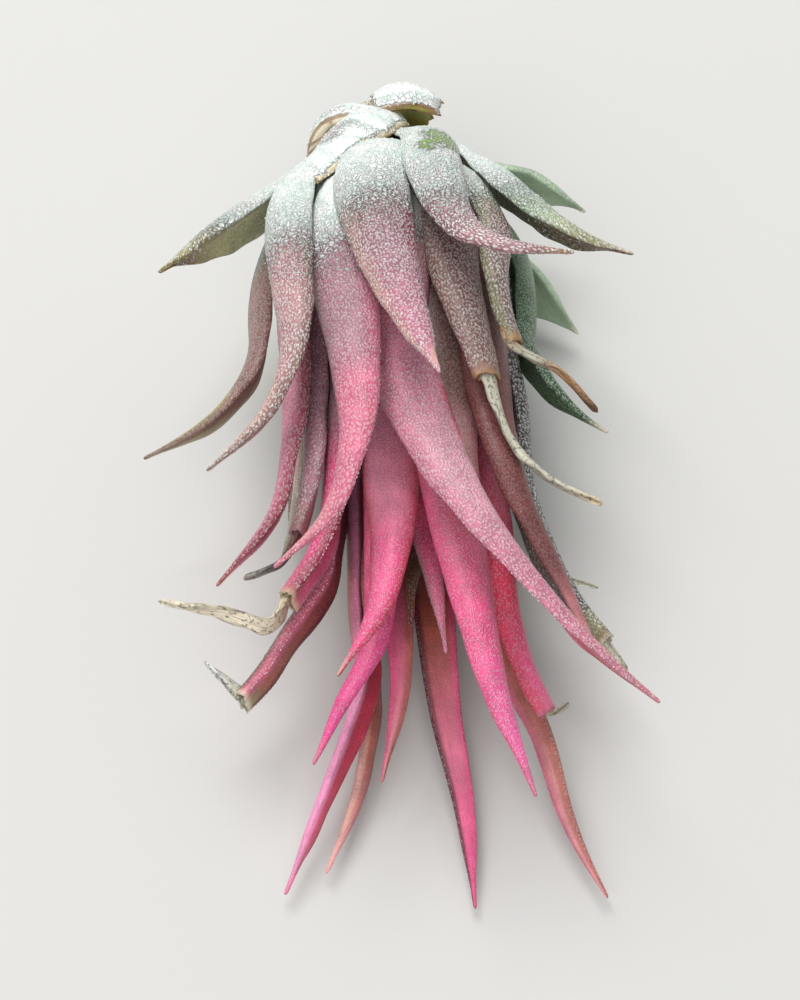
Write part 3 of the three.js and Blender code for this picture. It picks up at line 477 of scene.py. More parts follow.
UNDER = look("0.2 mint 0.45 sage 0.9 leaf_green 1 bone", crust=(0.3, 0.6), scales=(5, 4), white=0.5,
             size=0.8)
LOOKS = dict(
    leaf_right_back=look("0.3 mint 0.6 sage 0.95 sage 1 cream", crust=(0.15, 0.7), scales=(1, 1),
        size=0.8),
    leaf_left_high=look("0.75 mint 0.9 bone 0.97 cream 1 umber",
        # its inner face lies in shade, and its pale yellows there are painted light over its own olive
        inner="0.3 wax 0.7 pistachio 0.95 umber", rims=(None, "olive"), crust=(0.5, 1.1),
        scales=(8, 10), white=0.8, size=0.9),
    leaf_right_high=look("0.5 mint 0.7 sage 0.9 khaki 1 cream", inner="0.3 olive 0.6 moss 1 umber",
        rims=(None, "moss"), crust=(0.4, 0.9), scales=(9, 12), white=0.65, size=0.9),
    leaf_right_low=look("0.3 sage 0.6 sage 0.95 sage 1 cream", crust=(0.1, 0.3), scales=(1, 1),
        white=0.2, size=0.7),
    leaf_top_hook=look("0.44 sage 0.54 mauve 0.64 dusty_rose 0.9 dusty_rose 1 tan",
        rims=(None, "crimson"), crust=(0.4, 0.94), scales=(10, 14), white=0.95, size=0.9,
        patches=[(0.4, -0.2, 0.08, 0.6, "lime", 0.6), (0.46, 0.3, 0.03, 0.2, "lime", 0.7)]),
    leaf_left_shoulder=look("0.36 mint 0.48 dusty_rose 0.75 dusty_rose 0.9 peach 1 cream",
        rims=("mauve", "taupe"), crust=(0.32, 0.74), scales=(8, 12), white=0.6, size=0.85,
        beads=(0.5, 0.4)),
    leaf_top_short=look("0.38 mint 0.48 taupe 0.64 mauve 0.9 rose 1 blush", rims=("peach", "mauve"),
        crust=(0.3, 0.72), scales=(8, 13), white=0.6, size=0.9, beads=(0.7, 0.7),
        patches=[(0.6, -0.75, 0.09, 0.35, "wine", 0), (0.96, -0.3, 0.03, 0.5, "peach", 1)]),
    leaf_left_arched=look("0.3 sage 0.5 taupe 0.75 taupe 0.93 khaki 0.98 bone 1 umber",
        rims=("bone", "cocoa"), crust=(0.25, 0.55), scales=(6, 4), white=0.2, size=0.75,
        patches=[(0.86, -0.3, 0.09, 0.5, "olive", 0)]),
    leaf_right_kinked=look("0.3 khaki 0.6 taupe 0.95 taupe 1 tan", rims=("khaki", "cocoa"),
        crust=(0.3, 0.66), scales=(9, 13), white=0.7, size=0.85,
        patches=[(0.42, 0, 0.08, 0.7, "lime", 0)], strap="0 tan 0.3 bone 0.6 tan 1 umber"),
    leaf_right_dark=look("0.45 leaf_green 0.6 fern 0.75 bottle 0.93 bottle 1 cream", crust=(0.05, 0.2),
        scales=(1, 4), white=0.5),
    leaf_top_left=look(
        "0.32 mint 0.4 mauve 0.52 mauve 0.62 mauve 0.72 coral 0.85 coral 0.95 salmon 1 salmon",
        rims=("plum", "coral"), crust=(0.25, 0.6), scales=(4, 8), white=0.32, size=0.85,
        beads=(0.8, 0.8)),
    leaf_right_withered=look("0.38 khaki 0.5 cocoa 0.9 cocoa 1 taupe", rims=("taupe", "cocoa"),
        crust=(0.28, 0.6), scales=(7, 13), white=0.42, size=0.85, beads=(0.4, 0.5),
        strap="0 tan 0.12 bone 0.8 bone 1 straw"),
    leaf_left_long=look("0.3 mint 0.45 blush 0.75 rose 0.93 rose 1 peach", rims=("mauve", "wine"),
        crust=(0.2, 0.5), scales=(9, 11), white=0.27, size=0.85, beads=(0.5, 0.6)),
    # The pale rose near 0.42 along this leaf is painted light where neighbouring leaves shade it.
    leaf_top_long=look("0.3 dusty_rose 0.42 shell 0.5 rose 0.65 blush 0.82 rose 0.93 salmon 1 tan",
        inner="0.4 crimson 0.8 crimson 1 brick", rims=("rose", "rose"), crust=(0.2, 0.36),
        scales=(5, 4), white=0.38, size=0.8, beads=(0.75, 0.75),
        patches=[(0.57, -0.9, 0.07, 0.45, "crimson", 0), (0.63, -0.75, 0.018, 0.3, "tan", 1),
                 (0.75, -1, 0.1, 0.3, "hot_pink", 0)]),
    leaf_right_grey=look("0.4 slate 0.93 slate 0.97 khaki 1 umber", crust=(0.2, 0.4), scales=(12, 12),
        white=0.8, size=0.85, strap="0 cream 0.7 bone 1 khaki"),
    leaf_left_narrow=look("0.4 ash 0.75 peach 0.95 bone 1 umber", inner="0.4 sepia 0.8 ash",
        rims=("umber", "bone"), rim_from=0.6, crust=(0.2, 0.4), scales=(3, 3), white=0.4, size=0.7),
    leaf_low_right=look("0.5 umber 0.75 brick 1 salmon",
        inner="0.5 umber 0.72 brick 0.9 salmon 1 salmon", rims=("brick", "coral"), scales=(3, 4),
        white=0.3, beads=(0.6, 0.5)),
    leaf_left_mauve=look("0.4 mauve 0.9 mauve 1 taupe", crust=(0.2, 0.4), scales=(1, 3), white=0.4,
        size=0.7, strap="0 mauve 0.3 cocoa 0.6 slate 1 ash"),
    leaf_left_snapped=look("0.4 mauve 0.62 mauve 0.78 hot_pink 0.93 hot_pink 1 coral",
        rims=("rose", "wine"), rim_from=0.6, crust=(0.2, 0.4), scales=(5, 8), white=0.25, size=0.85,
        beads=(0.4, 0.8), strap="0 straw 0.4 cream 1 cream"),
    leaf_low_brown=look("0.5 brick 1 salmon", inner="0.5 plum 0.8 brick 1 salmon",
        rims=("wine", "peach"), rim_from=0.7, scales=(2, 2), white=0.25, beads=(0.3, 0.5)),
    leaf_right_brown=look("0.4 cocoa 0.6 russet 0.85 russet 1 salmon", crust=(0.1, 0.3), scales=(4, 4),
        white=0.08, beads=(0, 0.4)),
    leaf_left_folded=look("0.4 wine 0.75 maroon 0.95 umber 1 umber",
        inner="0.5 maroon 0.75 wine 0.95 brick 1 khaki", rims=("maroon", "coral"), rim_from=0.5,
        scales=(4, 6), white=0.2, size=0.8, beads=(0.2, 0.8), strap="0 cream 0.3 bone 1 chalk"),
    leaf_low_front=look("0.5 bark 0.8 maroon 0.95 wine 1 coral",
        inner="0.5 cocoa 0.65 brick 0.8 coral 0.92 hot_pink 1 hot_pink", rims=("hot_pink", "maroon"),
        rim_from=0.72, scales=(1, 1), white=0.2, beads=(0.3, 0.6)),
    leaf_low_left=look("0.5 cocoa 0.62 brick 0.75 petal 0.95 petal 1 salmon",
        inner="0.5 wine 0.8 crimson 1 coral", rims=("crimson", "petal"), rim_from=0.6, scales=(1.5, 1),
        white=0.15, beads=(0.7, 0.3)),
    leaf_front_bright=look(
        "0.45 cocoa 0.54 dusty_rose 0.64 coral 0.78 hot_pink 0.95 bright_pink 1 rose",
        inner="0.4 crimson", rims=("hot_pink", "crimson"), scales=(4, 0.5), white=0.25,
        beads=(0.2, 0.4)),
    # The pale rose near 0.66 along this leaf is painted light where neighbouring leaves shade it.
    leaf_front_middle=look("0.45 mauve 0.52 rose 0.66 shell 0.82 hot_pink 0.95 hot_pink 1 peach",
        rims=("crimson", "crimson"), scales=(5, 0.5), white=0.25, beads=(0, 0.3)),
    leaf_front_red=look("0.5 coral 0.8 crimson 0.95 hot_pink 1 coral", rims=("crimson", "crimson"),
        scales=(1, 0.5), white=0.2, strap="0 rose 0.3 straw 1 ash"),
    leaf_left_shaded=look("0.5 cocoa 1 brick", inner="0.5 maroon 1 umber", rims=("bone", None),
        scales=(1, 1), white=0.3),
    leaf_right_spike=look("0.5 taupe 1 straw", scales=(1, 1), strap="0 straw 1 bone"),
    leaf_front_pink=look("0.5 coral 0.75 hot_pink 0.95 magenta 1 rose", rims=("hot_pink", "magenta"),
        scales=(1, 0.5), white=0.2),
    leaf_inner_right=look("0.5 coral 0.8 hot_pink 1 rose", rims=("mauve", "crimson"), scales=(3, 1),
        white=0.3, beads=(0.5, 0.2)),
    leaf_inner_low=look("0.5 hot_pink 1 hot_pink", inner="0.5 plum 0.8 coral 1 salmon",
        rims=("brick", "hot_pink"), scales=(1, 1), white=0.2, beads=(0.4, 0.3)),
    leaf_inner_tip=look("0.5 taupe 0.9 sepia 1 umber", white=0.5),
    leaf_under_right=UNDER,
    leaf_under_left=UNDER,
    leaf_under_middle=UNDER,
    leaf_under_side=UNDER,
    leaf_under_deep=look("0.3 sage 0.6 taupe 1 cocoa", scales=(3, 3)),
)

# The surface round a leaf, its tips and its torn ends.
ANGLES = 2 * math.pi * np.arange(ROUND) / ROUND  # round a ring, from its left edge over the outside
ROUND_ACROSS = np.cos(ANGLES)
ROUND_FACE = np.sign(np.sin(ANGLES)) * np.sqrt(np.maximum(0, 1 - ROUND_ACROSS ** 6))
SKIN_BACK = 0.04  # how far the skin lies inside the solid, so that its scales stay within it
EDGE_WAVE = 0.1
EDGE_WAVELENGTH = 5
TIP_RUN = 4  # the stretch over which a tip is drawn out
TIP_SHARE = 0.45
TIP_ROUND = 0.25
TIP_RINGS = (0.2, 0.1, 0.03, 0.004)  # how far the last rings are from the tip
WALL_ACROSS = 0.84  # the hollow of a torn end, as a share of its width
WALL_THICK = 0.45
HOLLOW_DEPTHS = (0.02, 0.55)
TORN_EDGE = 0.12
SKIN, SCALE, DRIED = range(3)  # the materials of a piece


class Pile:
    """Closed surfaces that make one piece, with what each of their points carries: tissue is its
    colour, place its way across and along the leaf in mm, scurf how whole the crust is, and
    cover how dense and how white the fine scales are."""

    def __init__(self):
        self.count = 0
        self.points, self.faces, self.slots, self.carried = [], [], [], []

    def add(self, points, faces, material, tissue, place=(0, 0, 0), scurf=0, cover=(0, 0, 0)):
        columns = [np.broadcast_to(tissue, points.shape), np.broadcast_to(place, points.shape),
                   np.broadcast_to(np.reshape(scurf, (-1, 1)), (len(points), 1)),
                   np.broadcast_to(cover, points.shape)]
        self.points.append(points)
        self.faces.append(faces + self.count)
        self.slots.append(np.full(len(faces), material))
        self.carried.append(np.hstack(columns))
        self.count += len(points)

    def build(self, name):
        points = (np.vstack(self.points) + CENTRING) * MM
        faces = np.vstack(self.faces)
        carried = np.vstack(self.carried)
        mesh = bpy.data.meshes.new(name)
        mesh.vertices.add(len(points))
        mesh.vertices.foreach_set("co", points.ravel())
        mesh.loops.add(faces.size)
        mesh.loops.foreach_set("vertex_index", faces.ravel().astype(np.int32))
        mesh.polygons.add(len(faces))
        mesh.polygons.foreach_set("loop_start", np.arange(0, faces.size, 3, dtype=np.int32))
        mesh.polygons.foreach_set("material_index", np.concatenate(self.slots).astype(np.int32))
        mesh.polygons.foreach_set("use_smooth", np.ones(len(faces), bool))
        mesh.update(calc_edges=True)
        for material in (leaf_skin, leaf_scale, dried_leaf):
            mesh.materials.append(material)
        tissue = mesh.color_attributes.new("tissue", "FLOAT_COLOR", "POINT")
        tissue.data.foreach_set("color", np.insert(carried[:, :3], 3, 1, axis=1).ravel())
        rows = (("place", "FLOAT_VECTOR", "vector", carried[:, 3:6]),
                ("scurf", "FLOAT", "value", carried[:, 6]),
                ("cover", "FLOAT_VECTOR", "vector", carried[:, 7:]))
        for label, kind, field, part in rows:
            mesh.attributes.new(label, kind, "POINT").data.foreach_set(field, part.ravel())
        mesh.validate()
        piece = bpy.data.objects.new(name, mesh)
        bpy.context.scene.collection.objects.link(piece)
        return piece


def skin(rings):
    """Points and faces of a closed surface: rings of equal length, joined each to the next, and
    the middle of each end ring, which closes it. Its faces point outwards, whichever way its
    rings run."""
    count, n = rings.shape[:2]
    i, k = np.meshgrid(np.arange(count - 1), np.arange(n), indexing="ij")
    a = 1 + i * n + k
    b = 1 + i * n + (k + 1) % n
    sides = np.stack([np.stack([a, b, a + n], -1), np.stack([b, b + n, a + n], -1)], 2).reshape(-1, 3)
    k = np.arange(n)
    ahead = (k + 1) % n
    last = 1 + (count - 1) * n
    first_fan = np.stack([np.zeros(n, int), 1 + ahead, 1 + k], -1)
    last_fan = np.stack([np.full(n, last + n), last + k, last + ahead], -1)
    points = with_ends(rings)
    faces = np.vstack([sides, first_fan, last_fan])
    corners = points[faces]
    volume = np.sum(np.cross(corners[:, 0], corners[:, 1]) * corners[:, 2])
    return points, faces if volume > 0 else faces[:, ::-1]


def with_ends(grid):
    """What the points of rings carry, with the mean of the end rings for the points that close
    them."""
    return np.vstack([grid[0].mean(0), grid.reshape(-1, grid.shape[-1]), grid[-1].mean(0)])


def wander(s, length, draw):
    """A slow irregular wave along s, within 1 of zero: three sines near one wavelength."""
    waves = length * np.array([0.7, 1, 1.6])
    return np.sin(2 * math.pi * np.asarray(s)[..., None] / waves + draw.uniform(0, 6.28, 3)).mean(-1)


def crescent(sec, draw, wave):
    """Rings of a leaf's surface. Round each ring, across is the cosine of an angle and the face
    goes from the outside to the inside with its sine, so the edges are rounded:
    face = sign(sine) * sqrt(1 - across^6). The edges wave a little along the leaf."""
    rings = section_points(sec, ROUND_ACROSS[None], ROUND_FACE[None])
    left, right = (wander(sec["s"], EDGE_WAVELENGTH, draw) for _ in range(2))
    edge = np.where(ROUND_ACROSS > 0, left[:, None], right[:, None]) * np.abs(ROUND_ACROSS) ** 3
    return rings + wave * edge[..., None] * sec["out"][:, None]


def closing(left, reach):
    """Closes an end in a quarter circle: 0 at the end itself and 1 where reach is left to it."""
    return np.sqrt(1 - (1 - np.clip(left / reach, 0, 1)) ** 2)


def tapered_tip(sec, left):
    """Draws the last millimetres to a point: the section shrinks towards the tip and closes in a
    quarter circle. left is how far each ring is from the tip."""
    drawn = mix(TIP_SHARE, 1, smooth(0, TIP_RUN, left))
    for size in ("half_width", "half_thickness"):
        sec[size] = sec[size] * drawn * closing(left, TIP_ROUND)


def leaf_surface(leaf, draw):
    """A leaf's sections and its rings of points, either drawn to a tip or torn off with a
    ragged edge round a hollow, whose two rings come last."""
    line = leaf["line"]
    torn = "dry" in leaf
    share = np.linspace(0, 1, int(line.length / RING_STEP) + 1)
    if not torn:
        share = np.append(share[:-1], 1 - np.array(TIP_RINGS) / line.length)
    sec = sections(leaf, line, share, FACING_EASE)
    sec["half_thickness"] = sec["half_thickness"] - SKIN_BACK
    if not torn:
        tapered_tip(sec, line.length - sec["s"])
        return sec, crescent(sec, draw, EDGE_WAVE)
    rings = crescent(sec, draw, EDGE_WAVE)
    ahead = line.tangent(np.array([1.0]))
    end = {key: value[-1:] for key, value in sec.items()}
    wall = section_points(end, WALL_ACROSS * ROUND_ACROSS[None], WALL_THICK * ROUND_FACE[None])
    ragged = TORN_EDGE * draw.uniform(-1, 1, (1, ROUND, 1)) * ahead
    rings[-1:] += ragged
    hollow = [wall + 0.5 * ragged - depth * ahead for depth in HOLLOW_DEPTHS]
    return sec, np.concatenate([rings, *hollow])


RIM_STRENGTH = 0.85
RIM_WHOLE = 0.8  # where an edge's colour is whole, from rim_from to the edge
RIM_STARTS = (0.25, 0.45)  # along the leaf
PATCH_STRENGTH = 0.9
PATCH_FRAY = 0.2
PATCH_EDGE = (1.1, 0.6)  # from where a patch begins to where it is whole, by its reach


def paint(leaf, share, across, outside):
    """The tissue's colour at points of a leaf: its face's colours along it, its rims and its
    patches, whose outline is frayed by the product of two waves. Also how bare of scales each
    point is."""
    wanted = LOOKS[leaf["name"]]
    outer, inner = stops(wanted["outer"], share), stops(wanted["inner"], share)
    colour = np.where(outside[..., None], outer, inner)
    for side, name in zip((1, -1), wanted["rims"]):
        if name:
            whole = mix(wanted["rim_from"], 1, RIM_WHOLE)
            near = smooth(wanted["rim_from"], whole, side * across)
            weight = RIM_STRENGTH * near * smooth(*RIM_STARTS, share)
            colour = mix(colour, tone(name), weight[..., None])
    bare = np.zeros(share.shape)
    for t, middle, reach, breadth, name, rubbed in wanted["patches"]:
        away = np.hypot((share - t) / reach, (across - middle) / breadth)
        fray = np.sin(190 * share + 3 * across) * np.cos(9 * across + 60 * share)
        weight = np.where(outside, smooth(*PATCH_EDGE, away + PATCH_FRAY * fray), 0)
        colour = mix(colour, tone(name), PATCH_STRENGTH * weight[..., None])
        bare = np.maximum(bare, rubbed * weight)
    return colour, bare


INNER_CRUST = 0.3  # how whole the crust is on the inside, as a share of that outside
INNER_WHITE = 0.45  # how white the fine scales are there, likewise
COVER_LEAST = 0.7  # the share of the fine scales' places that are taken on the barest leaf
COVER_SPAN = 20  # raised scales on a square millimetre that would fill the rest and more
TORN_RIM = (0.45, 0.1)  # how far from a torn end it begins to dry, and is dry
TORN_DRY = 0.8
TORN_BARE = 4  # rings at a torn end without fine scales
# the share of its dry colour that the hollow of a torn end is painted with: painted shade inside the
# hollow
HOLLOW_PAINTED_SHADE = 0.4


def build_leaf(leaf, index):
    """A leaf as one piece: its skin, with what the material reads at each point, the raised scales
    that stand on it and, on a torn leaf, the withered end."""
    draw = np.random.default_rng(100 + index)
    wanted = LOOKS[leaf["name"]]
    length = leaf["line"].length
    sec, rings = leaf_surface(leaf, draw)
    rings[..., 2] = np.maximum(rings[..., 2], 0)
    extra = len(rings) - len(sec["s"])
    s = np.pad(sec["s"], (0, extra), mode="edge")[:, None] + 0 * ANGLES
    share = s / length
    across = ROUND_ACROSS + 0 * s
    outside = np.sin(ANGLES) + 0 * s >= 0
    colour, bare = paint(leaf, share, across, outside)
    scurf = (1 - smooth(*wanted["crust"], share)) * (1 - bare) * np.where(outside, 1, INNER_CRUST)
    density = np.clip(COVER_LEAST + mix(*wanted["scales"], share) / COVER_SPAN, 0, 1) * (1 - bare)
    if extra:
        dry = tone(wanted["strap"].split()[1])
        rim = smooth(length - TORN_RIM[0], length - TORN_RIM[1], s)[..., None]
        colour = mix(colour, dry, TORN_DRY * rim)
        # painted shade in the hollow of the torn end
        colour[-extra:] = HOLLOW_PAINTED_SHADE * dry
        density[-TORN_BARE:] = 0
    place = np.stack([girth(rings), s, 0 * s], -1) / wanted["size"]
    white = wanted["white"] * np.where(outside, 1, INNER_WHITE)
    cover = np.stack([density, white, 0 * s], -1)
    pile = Pile()
    points, faces = skin(rings)
    pile.add(points, faces, SKIN, with_ends(colour), with_ends(place), with_ends(scurf[..., None]),
             with_ends(cover))
    add_scales(pile, leaf, sec, rings[:len(sec["s"])], draw)
    if extra:
        add_strap(pile, leaf, draw)
    return pile.build(leaf["name"] + "_skin")


def girth(rings):
    """How far each point of a ring lies from the middle of its face, measured on the surface.
    Both faces count from the left edge, and as if each were half of the way round."""
    steps = np.linalg.norm(np.roll(rings, -1, axis=1) - rings, axis=2)
    half = ROUND // 2
    outer, inner = steps[:, :half].cumsum(axis=1), steps[:, :half - 1:-1].cumsum(axis=1)
    share = np.zeros(steps.shape)
    share[:, 1:half + 1] = outer / outer[:, -1:]
    share[:, :half:-1] = (inner / inner[:, -1:])[:, :-1]
    return (share - 0.5) * steps.sum(axis=1, keepdims=True) / 2


def read_grid(grid, i, k):
    """A grid of rings read between its points: i along it and k round it, which wraps."""
    i = np.clip(i, 0, len(grid) - 1.001)
    i0, k0 = i.astype(int), np.floor(k).astype(int)
    u, v = (i - i0)[:, None], (k - k0)[:, None]
    n = grid.shape[1]
    a, b = grid[i0, k0 % n], grid[i0, (k0 + 1) % n]
    c, d = grid[i0 + 1, k0 % n], grid[i0 + 1, (k0 + 1) % n]
    return mix(mix(a, b, v), mix(c, d, v), u)


def surface_frame(rings):
    """The way each point of a surface faces, and the way along the leaf there."""
    along = np.gradient(rings, axis=0)
    normals = np.cross(along, np.roll(rings, -1, axis=1) - np.roll(rings, 1, axis=1))
    normals = unit(normals + 1e-12)
    if np.sum((rings - rings.mean(axis=1, keepdims=True)) * normals) < 0:
        normals = -normals
    return normals, along


ROW_PITCH = 0.22  # between lengthwise rows of scales
ROW_JITTER = 0.35
SCALE_PITCH = 0.28  # between the scales of a row
SCALE_JITTER = 0.45
SCALES_FROM = 0.1  # of the leaf's length
SCALES_ACROSS = 0.97
SCALES_SHORT = 0.3  # of the tip
RAISED_SHARE = 0.75  # of the scales that a look asks for; the skin's pattern shows the others
INNER_SHARE = 0.6
CRUSTED_SHARE = 0.1  # of them that show where the crust is whole
BEAD_PITCH = 0.21  # between the scales along an edge
BEAD_JITTER = 0.3
BEADS_FROM = 0.35
BEADS_SHORT = 0.5
BEAD_CRUST = 0.6


def add_scales(pile, leaf, sec, rings, draw):
    """Scales in lengthwise rows on both faces, and a denser row along an edge that has one. A
    scale is left out where a random draw is above the share of places that are taken there."""
    wanted = LOOKS[leaf["name"]]
    normals, along = surface_frame(rings)
    length = leaf["line"].length
    half = sec["half_width"] / np.sin(sec["arc"]) * sec["arc"]
    rows = np.arange(-half.max(), half.max(), ROW_PITCH)
    steps = np.arange(SCALES_FROM * length, length, SCALE_PITCH)
    for outside in (True, False):
        x, s = np.meshgrid(rows, steps)
        x = (x + ROW_PITCH * draw.uniform(-ROW_JITTER, ROW_JITTER, x.shape)).ravel()
        s = (s + SCALE_PITCH * draw.uniform(-SCALE_JITTER, SCALE_JITTER, s.shape)).ravel()
        across = x / np.interp(s, sec["s"], half)
        on_leaf = (np.abs(across) < SCALES_ACROSS) & (s < length - SCALES_SHORT)
        s, across = s[on_leaf], across[on_leaf]
        t = s / length
        colour, bare = paint(leaf, t, across, np.full(len(t), outside))
        crust = 1 - smooth(*wanted["crust"], t)
        density = RAISED_SHARE * mix(*wanted["scales"], smooth(0.3, 1, t))
        density = density * (1 if outside else INNER_SHARE) * (1 - bare)
        density = density * mix(1, CRUSTED_SHARE, smooth(0.25, 0.7, crust))
        taken = draw.uniform(0, 1, len(t)) < density * ROW_PITCH * SCALE_PITCH
        angle = np.arccos(across) * (1 if outside else -1)
        white = mix(wanted["white"], 0.9, crust) * draw.uniform(0.3, 0.95, len(t))
        size = wanted["size"] * draw.uniform(0.65, 1.3, len(t)) * (1 + 0.6 * crust)
        picked = [part[taken] for part in (s, angle, size, crust, colour, white)]
        add_grains(pile, sec, rings, normals, along, picked, draw)
    for white, angle in zip(wanted["beads"], (0, math.pi)):
        if white:
            s = np.arange(BEADS_FROM * length, length - BEADS_SHORT, BEAD_PITCH)
            s = s + BEAD_PITCH * draw.uniform(-BEAD_JITTER, BEAD_JITTER, len(s))
            across = np.full(len(s), math.cos(angle))
            colour, bare = paint(leaf, s / length, across, np.ones(len(s), bool))
            shade = white * draw.uniform(0.6, 1.1, len(s))
            size = wanted["size"] * draw.uniform(0.7, 1.2, len(s))
            at = angle + draw.uniform(-0.12, 0.18, len(s)) * (1 if angle == 0 else -1)
            picked = [s, at, size, np.full(len(s), BEAD_CRUST), colour, shade]
            add_grains(pile, sec, rings, normals, along, picked, draw)


GRAIN_SIDES = 5
GRAIN_LONG = 0.1  # half a scale's length
GRAIN_BROAD = 0.058
GRAIN_CRUSTED = 0.7  # how much broader it is in the crust
GRAIN_HIGH = 0.05
GRAIN_SUNK = 0.03
GRAIN_LEAN = 0.25  # how far its top leans towards the tip, by its half length
GRAIN_SWAY = 0.35  # its turn from the leaf's own way, in radians


def add_grains(pile, sec, rings, normals, along, picked, draw):
    """Raised scales: each is a low five-sided pyramid, longer than wide, whose top leans towards
    the tip of the leaf and whose flat bottom is sunk in the skin."""
    s, angle, size, crust, colour, white = picked
    count = len(s)
    if not count:
        return
    i = np.interp(s, sec["s"], np.arange(len(sec["s"])))
    k = angle / (2 * math.pi) * ROUND
    at = read_grid(rings, i, k)
    up = unit(read_grid(normals, i, k))
    ahead = read_grid(along, i, k)
    ahead = unit(ahead - dot(ahead, up) * up)
    sway = draw.normal(0, GRAIN_SWAY, count)[:, None]
    ahead = ahead * np.cos(sway) + np.cross(up, ahead) * np.sin(sway)
    aside = np.cross(up, ahead)
    long = (GRAIN_LONG * size)[:, None]
    broad = (GRAIN_BROAD * size * (1 + GRAIN_CRUSTED * crust))[:, None]
    high = (GRAIN_HIGH * size * draw.uniform(0.7, 1.3, count))[:, None]
    turn = 2 * math.pi * np.arange(GRAIN_SIDES) / GRAIN_SIDES
    x = long * np.cos(turn) * draw.uniform(0.8, 1.2, (count, GRAIN_SIDES))
    y = broad * np.sin(turn) * draw.uniform(0.8, 1.2, (count, GRAIN_SIDES))
    top = np.hstack([GRAIN_LEAN * long, 0 * long, high])
    body = np.concatenate([np.stack([x, y, 0 * x - GRAIN_SUNK], -1), top[:, None]], axis=1)
    points = (at[:, None] + body[..., :1] * ahead[:, None] + body[..., 1:2] * aside[:, None]
              + body[..., 2:] * up[:, None]).reshape(-1, 3)
    points[:, 2] = np.maximum(points[:, 2], 0)
    ring = np.arange(GRAIN_SIDES)
    slopes = np.stack([ring, (ring + 1) % GRAIN_SIDES, np.full(GRAIN_SIDES, GRAIN_SIDES)], -1)
    bottom = np.stack([np.zeros(GRAIN_SIDES - 2, int), ring[2:], ring[1:-1]], -1)
    shape = np.vstack([slopes, bottom])
    faces = (shape[None] + (GRAIN_SIDES + 1) * np.arange(count)[:, None, None]).reshape(-1, 3)
    colour = mix(colour, tone("chalk"), np.clip(white, 0, 1)[:, None])
    pile.add(points, faces, SCALE, np.repeat(colour, GRAIN_SIDES + 1, axis=0))


STRAP_ROOT = 1.2  # how far a withered end reaches back into the blade
STRAP_STEP = 0.2  # between its rings
STRAP_THICKNESS = 0.4
STRAP_ENDS = (1.4, 0.8)  # its width where it leaves the blade and further on, by its own width
STRAP_TAPER = 3  # the stretch over which it narrows to its end
STRAP_POINT = 0.3
STRAP_ROUND = 0.4
STRAP_LEAST = 0.02  # what is left of its size at the end itself
STRAP_WAVE = 0.15
EDGE_DARK = 0.5


def add_strap(pile, leaf, draw):
    """The withered end: a thin crumpled strap that starts inside the torn end of the blade. Its
    width, its course and how far it curls across wander along it, and its edges are darker."""
    line = leaf["line"]
    root, end = line.point(np.array([1 - STRAP_ROOT / line.length, 1]))
    strap = Line(np.vstack([root, end, leaf["dry"]["path"]]))
    share = np.linspace(0, 1, int(strap.length / STRAP_STEP))
    s = share * strap.length
    left = strap.length - s
    centre, tangent = strap.point(share), strap.tangent(share)
    out, side, _ = frames(leaf, centre, tangent, np.ones(len(share)))
    close = closing(left, STRAP_ROUND) + STRAP_LEAST
    half_width = leaf["dry"]["wide"] * mix(*STRAP_ENDS, smooth(0.1, 0.5, share)) / 2 * close
    half_width = half_width * mix(STRAP_POINT, 1, smooth(0, STRAP_TAPER, left))
    half_width = half_width * (1 + 0.1 * wander(s, 1.6, draw))
    centre = centre + 0.06 * wander(s, 2.2, draw)[:, None] * side
    sec = dict(centre=centre, out=out, side=side, half_width=half_width, s=s,
               half_thickness=STRAP_THICKNESS / 2 * close, arc=0.7 + 0.4 * wander(s, 2.5, draw))
    rings = crescent(sec, draw, STRAP_WAVE)
    rings[..., 2] = np.maximum(rings[..., 2], 0)
    points, faces = skin(rings)
    darker = (1 - EDGE_DARK * ROUND_ACROSS ** 8)[:, None]
    tissue = stops(LOOKS[leaf["name"]]["strap"], share)[:, None] * darker
    across = ROUND_ACROSS * half_width[:, None]
    place = np.stack([across, s[:, None] + 0 * across, 0 * across], -1)
    pile.add(points, faces, DRIED, with_ends(tissue), with_ends(place))


# The stubs, whose courses and sizes are the source's.
STUBS = [
    dict(name="stub_right", wide=4.4, arc=42, swell=2, turn=0, face=8, rim="tan", rim_from=0.9, blotch=0,
         inner="0.1 olive 0.3 pistachio 0.9 pistachio 1 olive",
         path=[(0.5, 24.9, 7.2), (0.5, 24.9, 9.4), (0.45, 24.3, 11.2), (0.4, 23.4, 12.3),
               (0.5, 22.2, 13), (0.6, 21, 12.9)]),
    dict(name="stub_left", wide=5.2, arc=62, swell=2.1, turn=0, rim="cream", rim_from=0.86, blotch=0.2,
         inner="0.3 pistachio 0.7 cream 1 cream",
         path=[(-3.3, 24.9, 8.1), (-4, 24, 9.4), (-4.3, 22.9, 10.6), (-4.5, 21.7, 11.1)]),
    dict(name="stub_curled", wide=4.9, arc=52, swell=2.8, turn=0, rim="wax", rim_from=0.78, blotch=0.55,
         inner="0.3 olive 0.8 khaki 1 sepia",
         path=[(-1.6, 24.5, 9.2), (-1.7, 22.4, 11.3), (-2.3, 20.2, 12.9), (-4, 17.4, 13.8),
               (-6.1, 14.8, 13)]),
]
STUB_STEP = 0.15  # between the rings of a stub
STUB_SKIN = 0.28  # half its thickness
STUB_THIN = 0.4  # its thickness at the torn end, as a share
STUB_THINS = 1.5  # the stretch over which it thins
STUB_WAVE = 0.2
STUB_GIRTH = 1.3  # its outside, measured over the curve, to its width
RIM_FRAY = 0.2
RIM_FULL = 0.97
RIM_COVER = 0.85
EDGE_FROM = 0.93  # its very edge, from the middle to the side
EDGE_WHOLE = 0.99
EDGE_COVER = 0.8
BLOTCH_AT = (0.72, 0.1)  # the share of its length and the place across
BLOTCH_REACH = (0.14, 0.4)
FLAKES = 14  # standing on a square millimetre of its outside


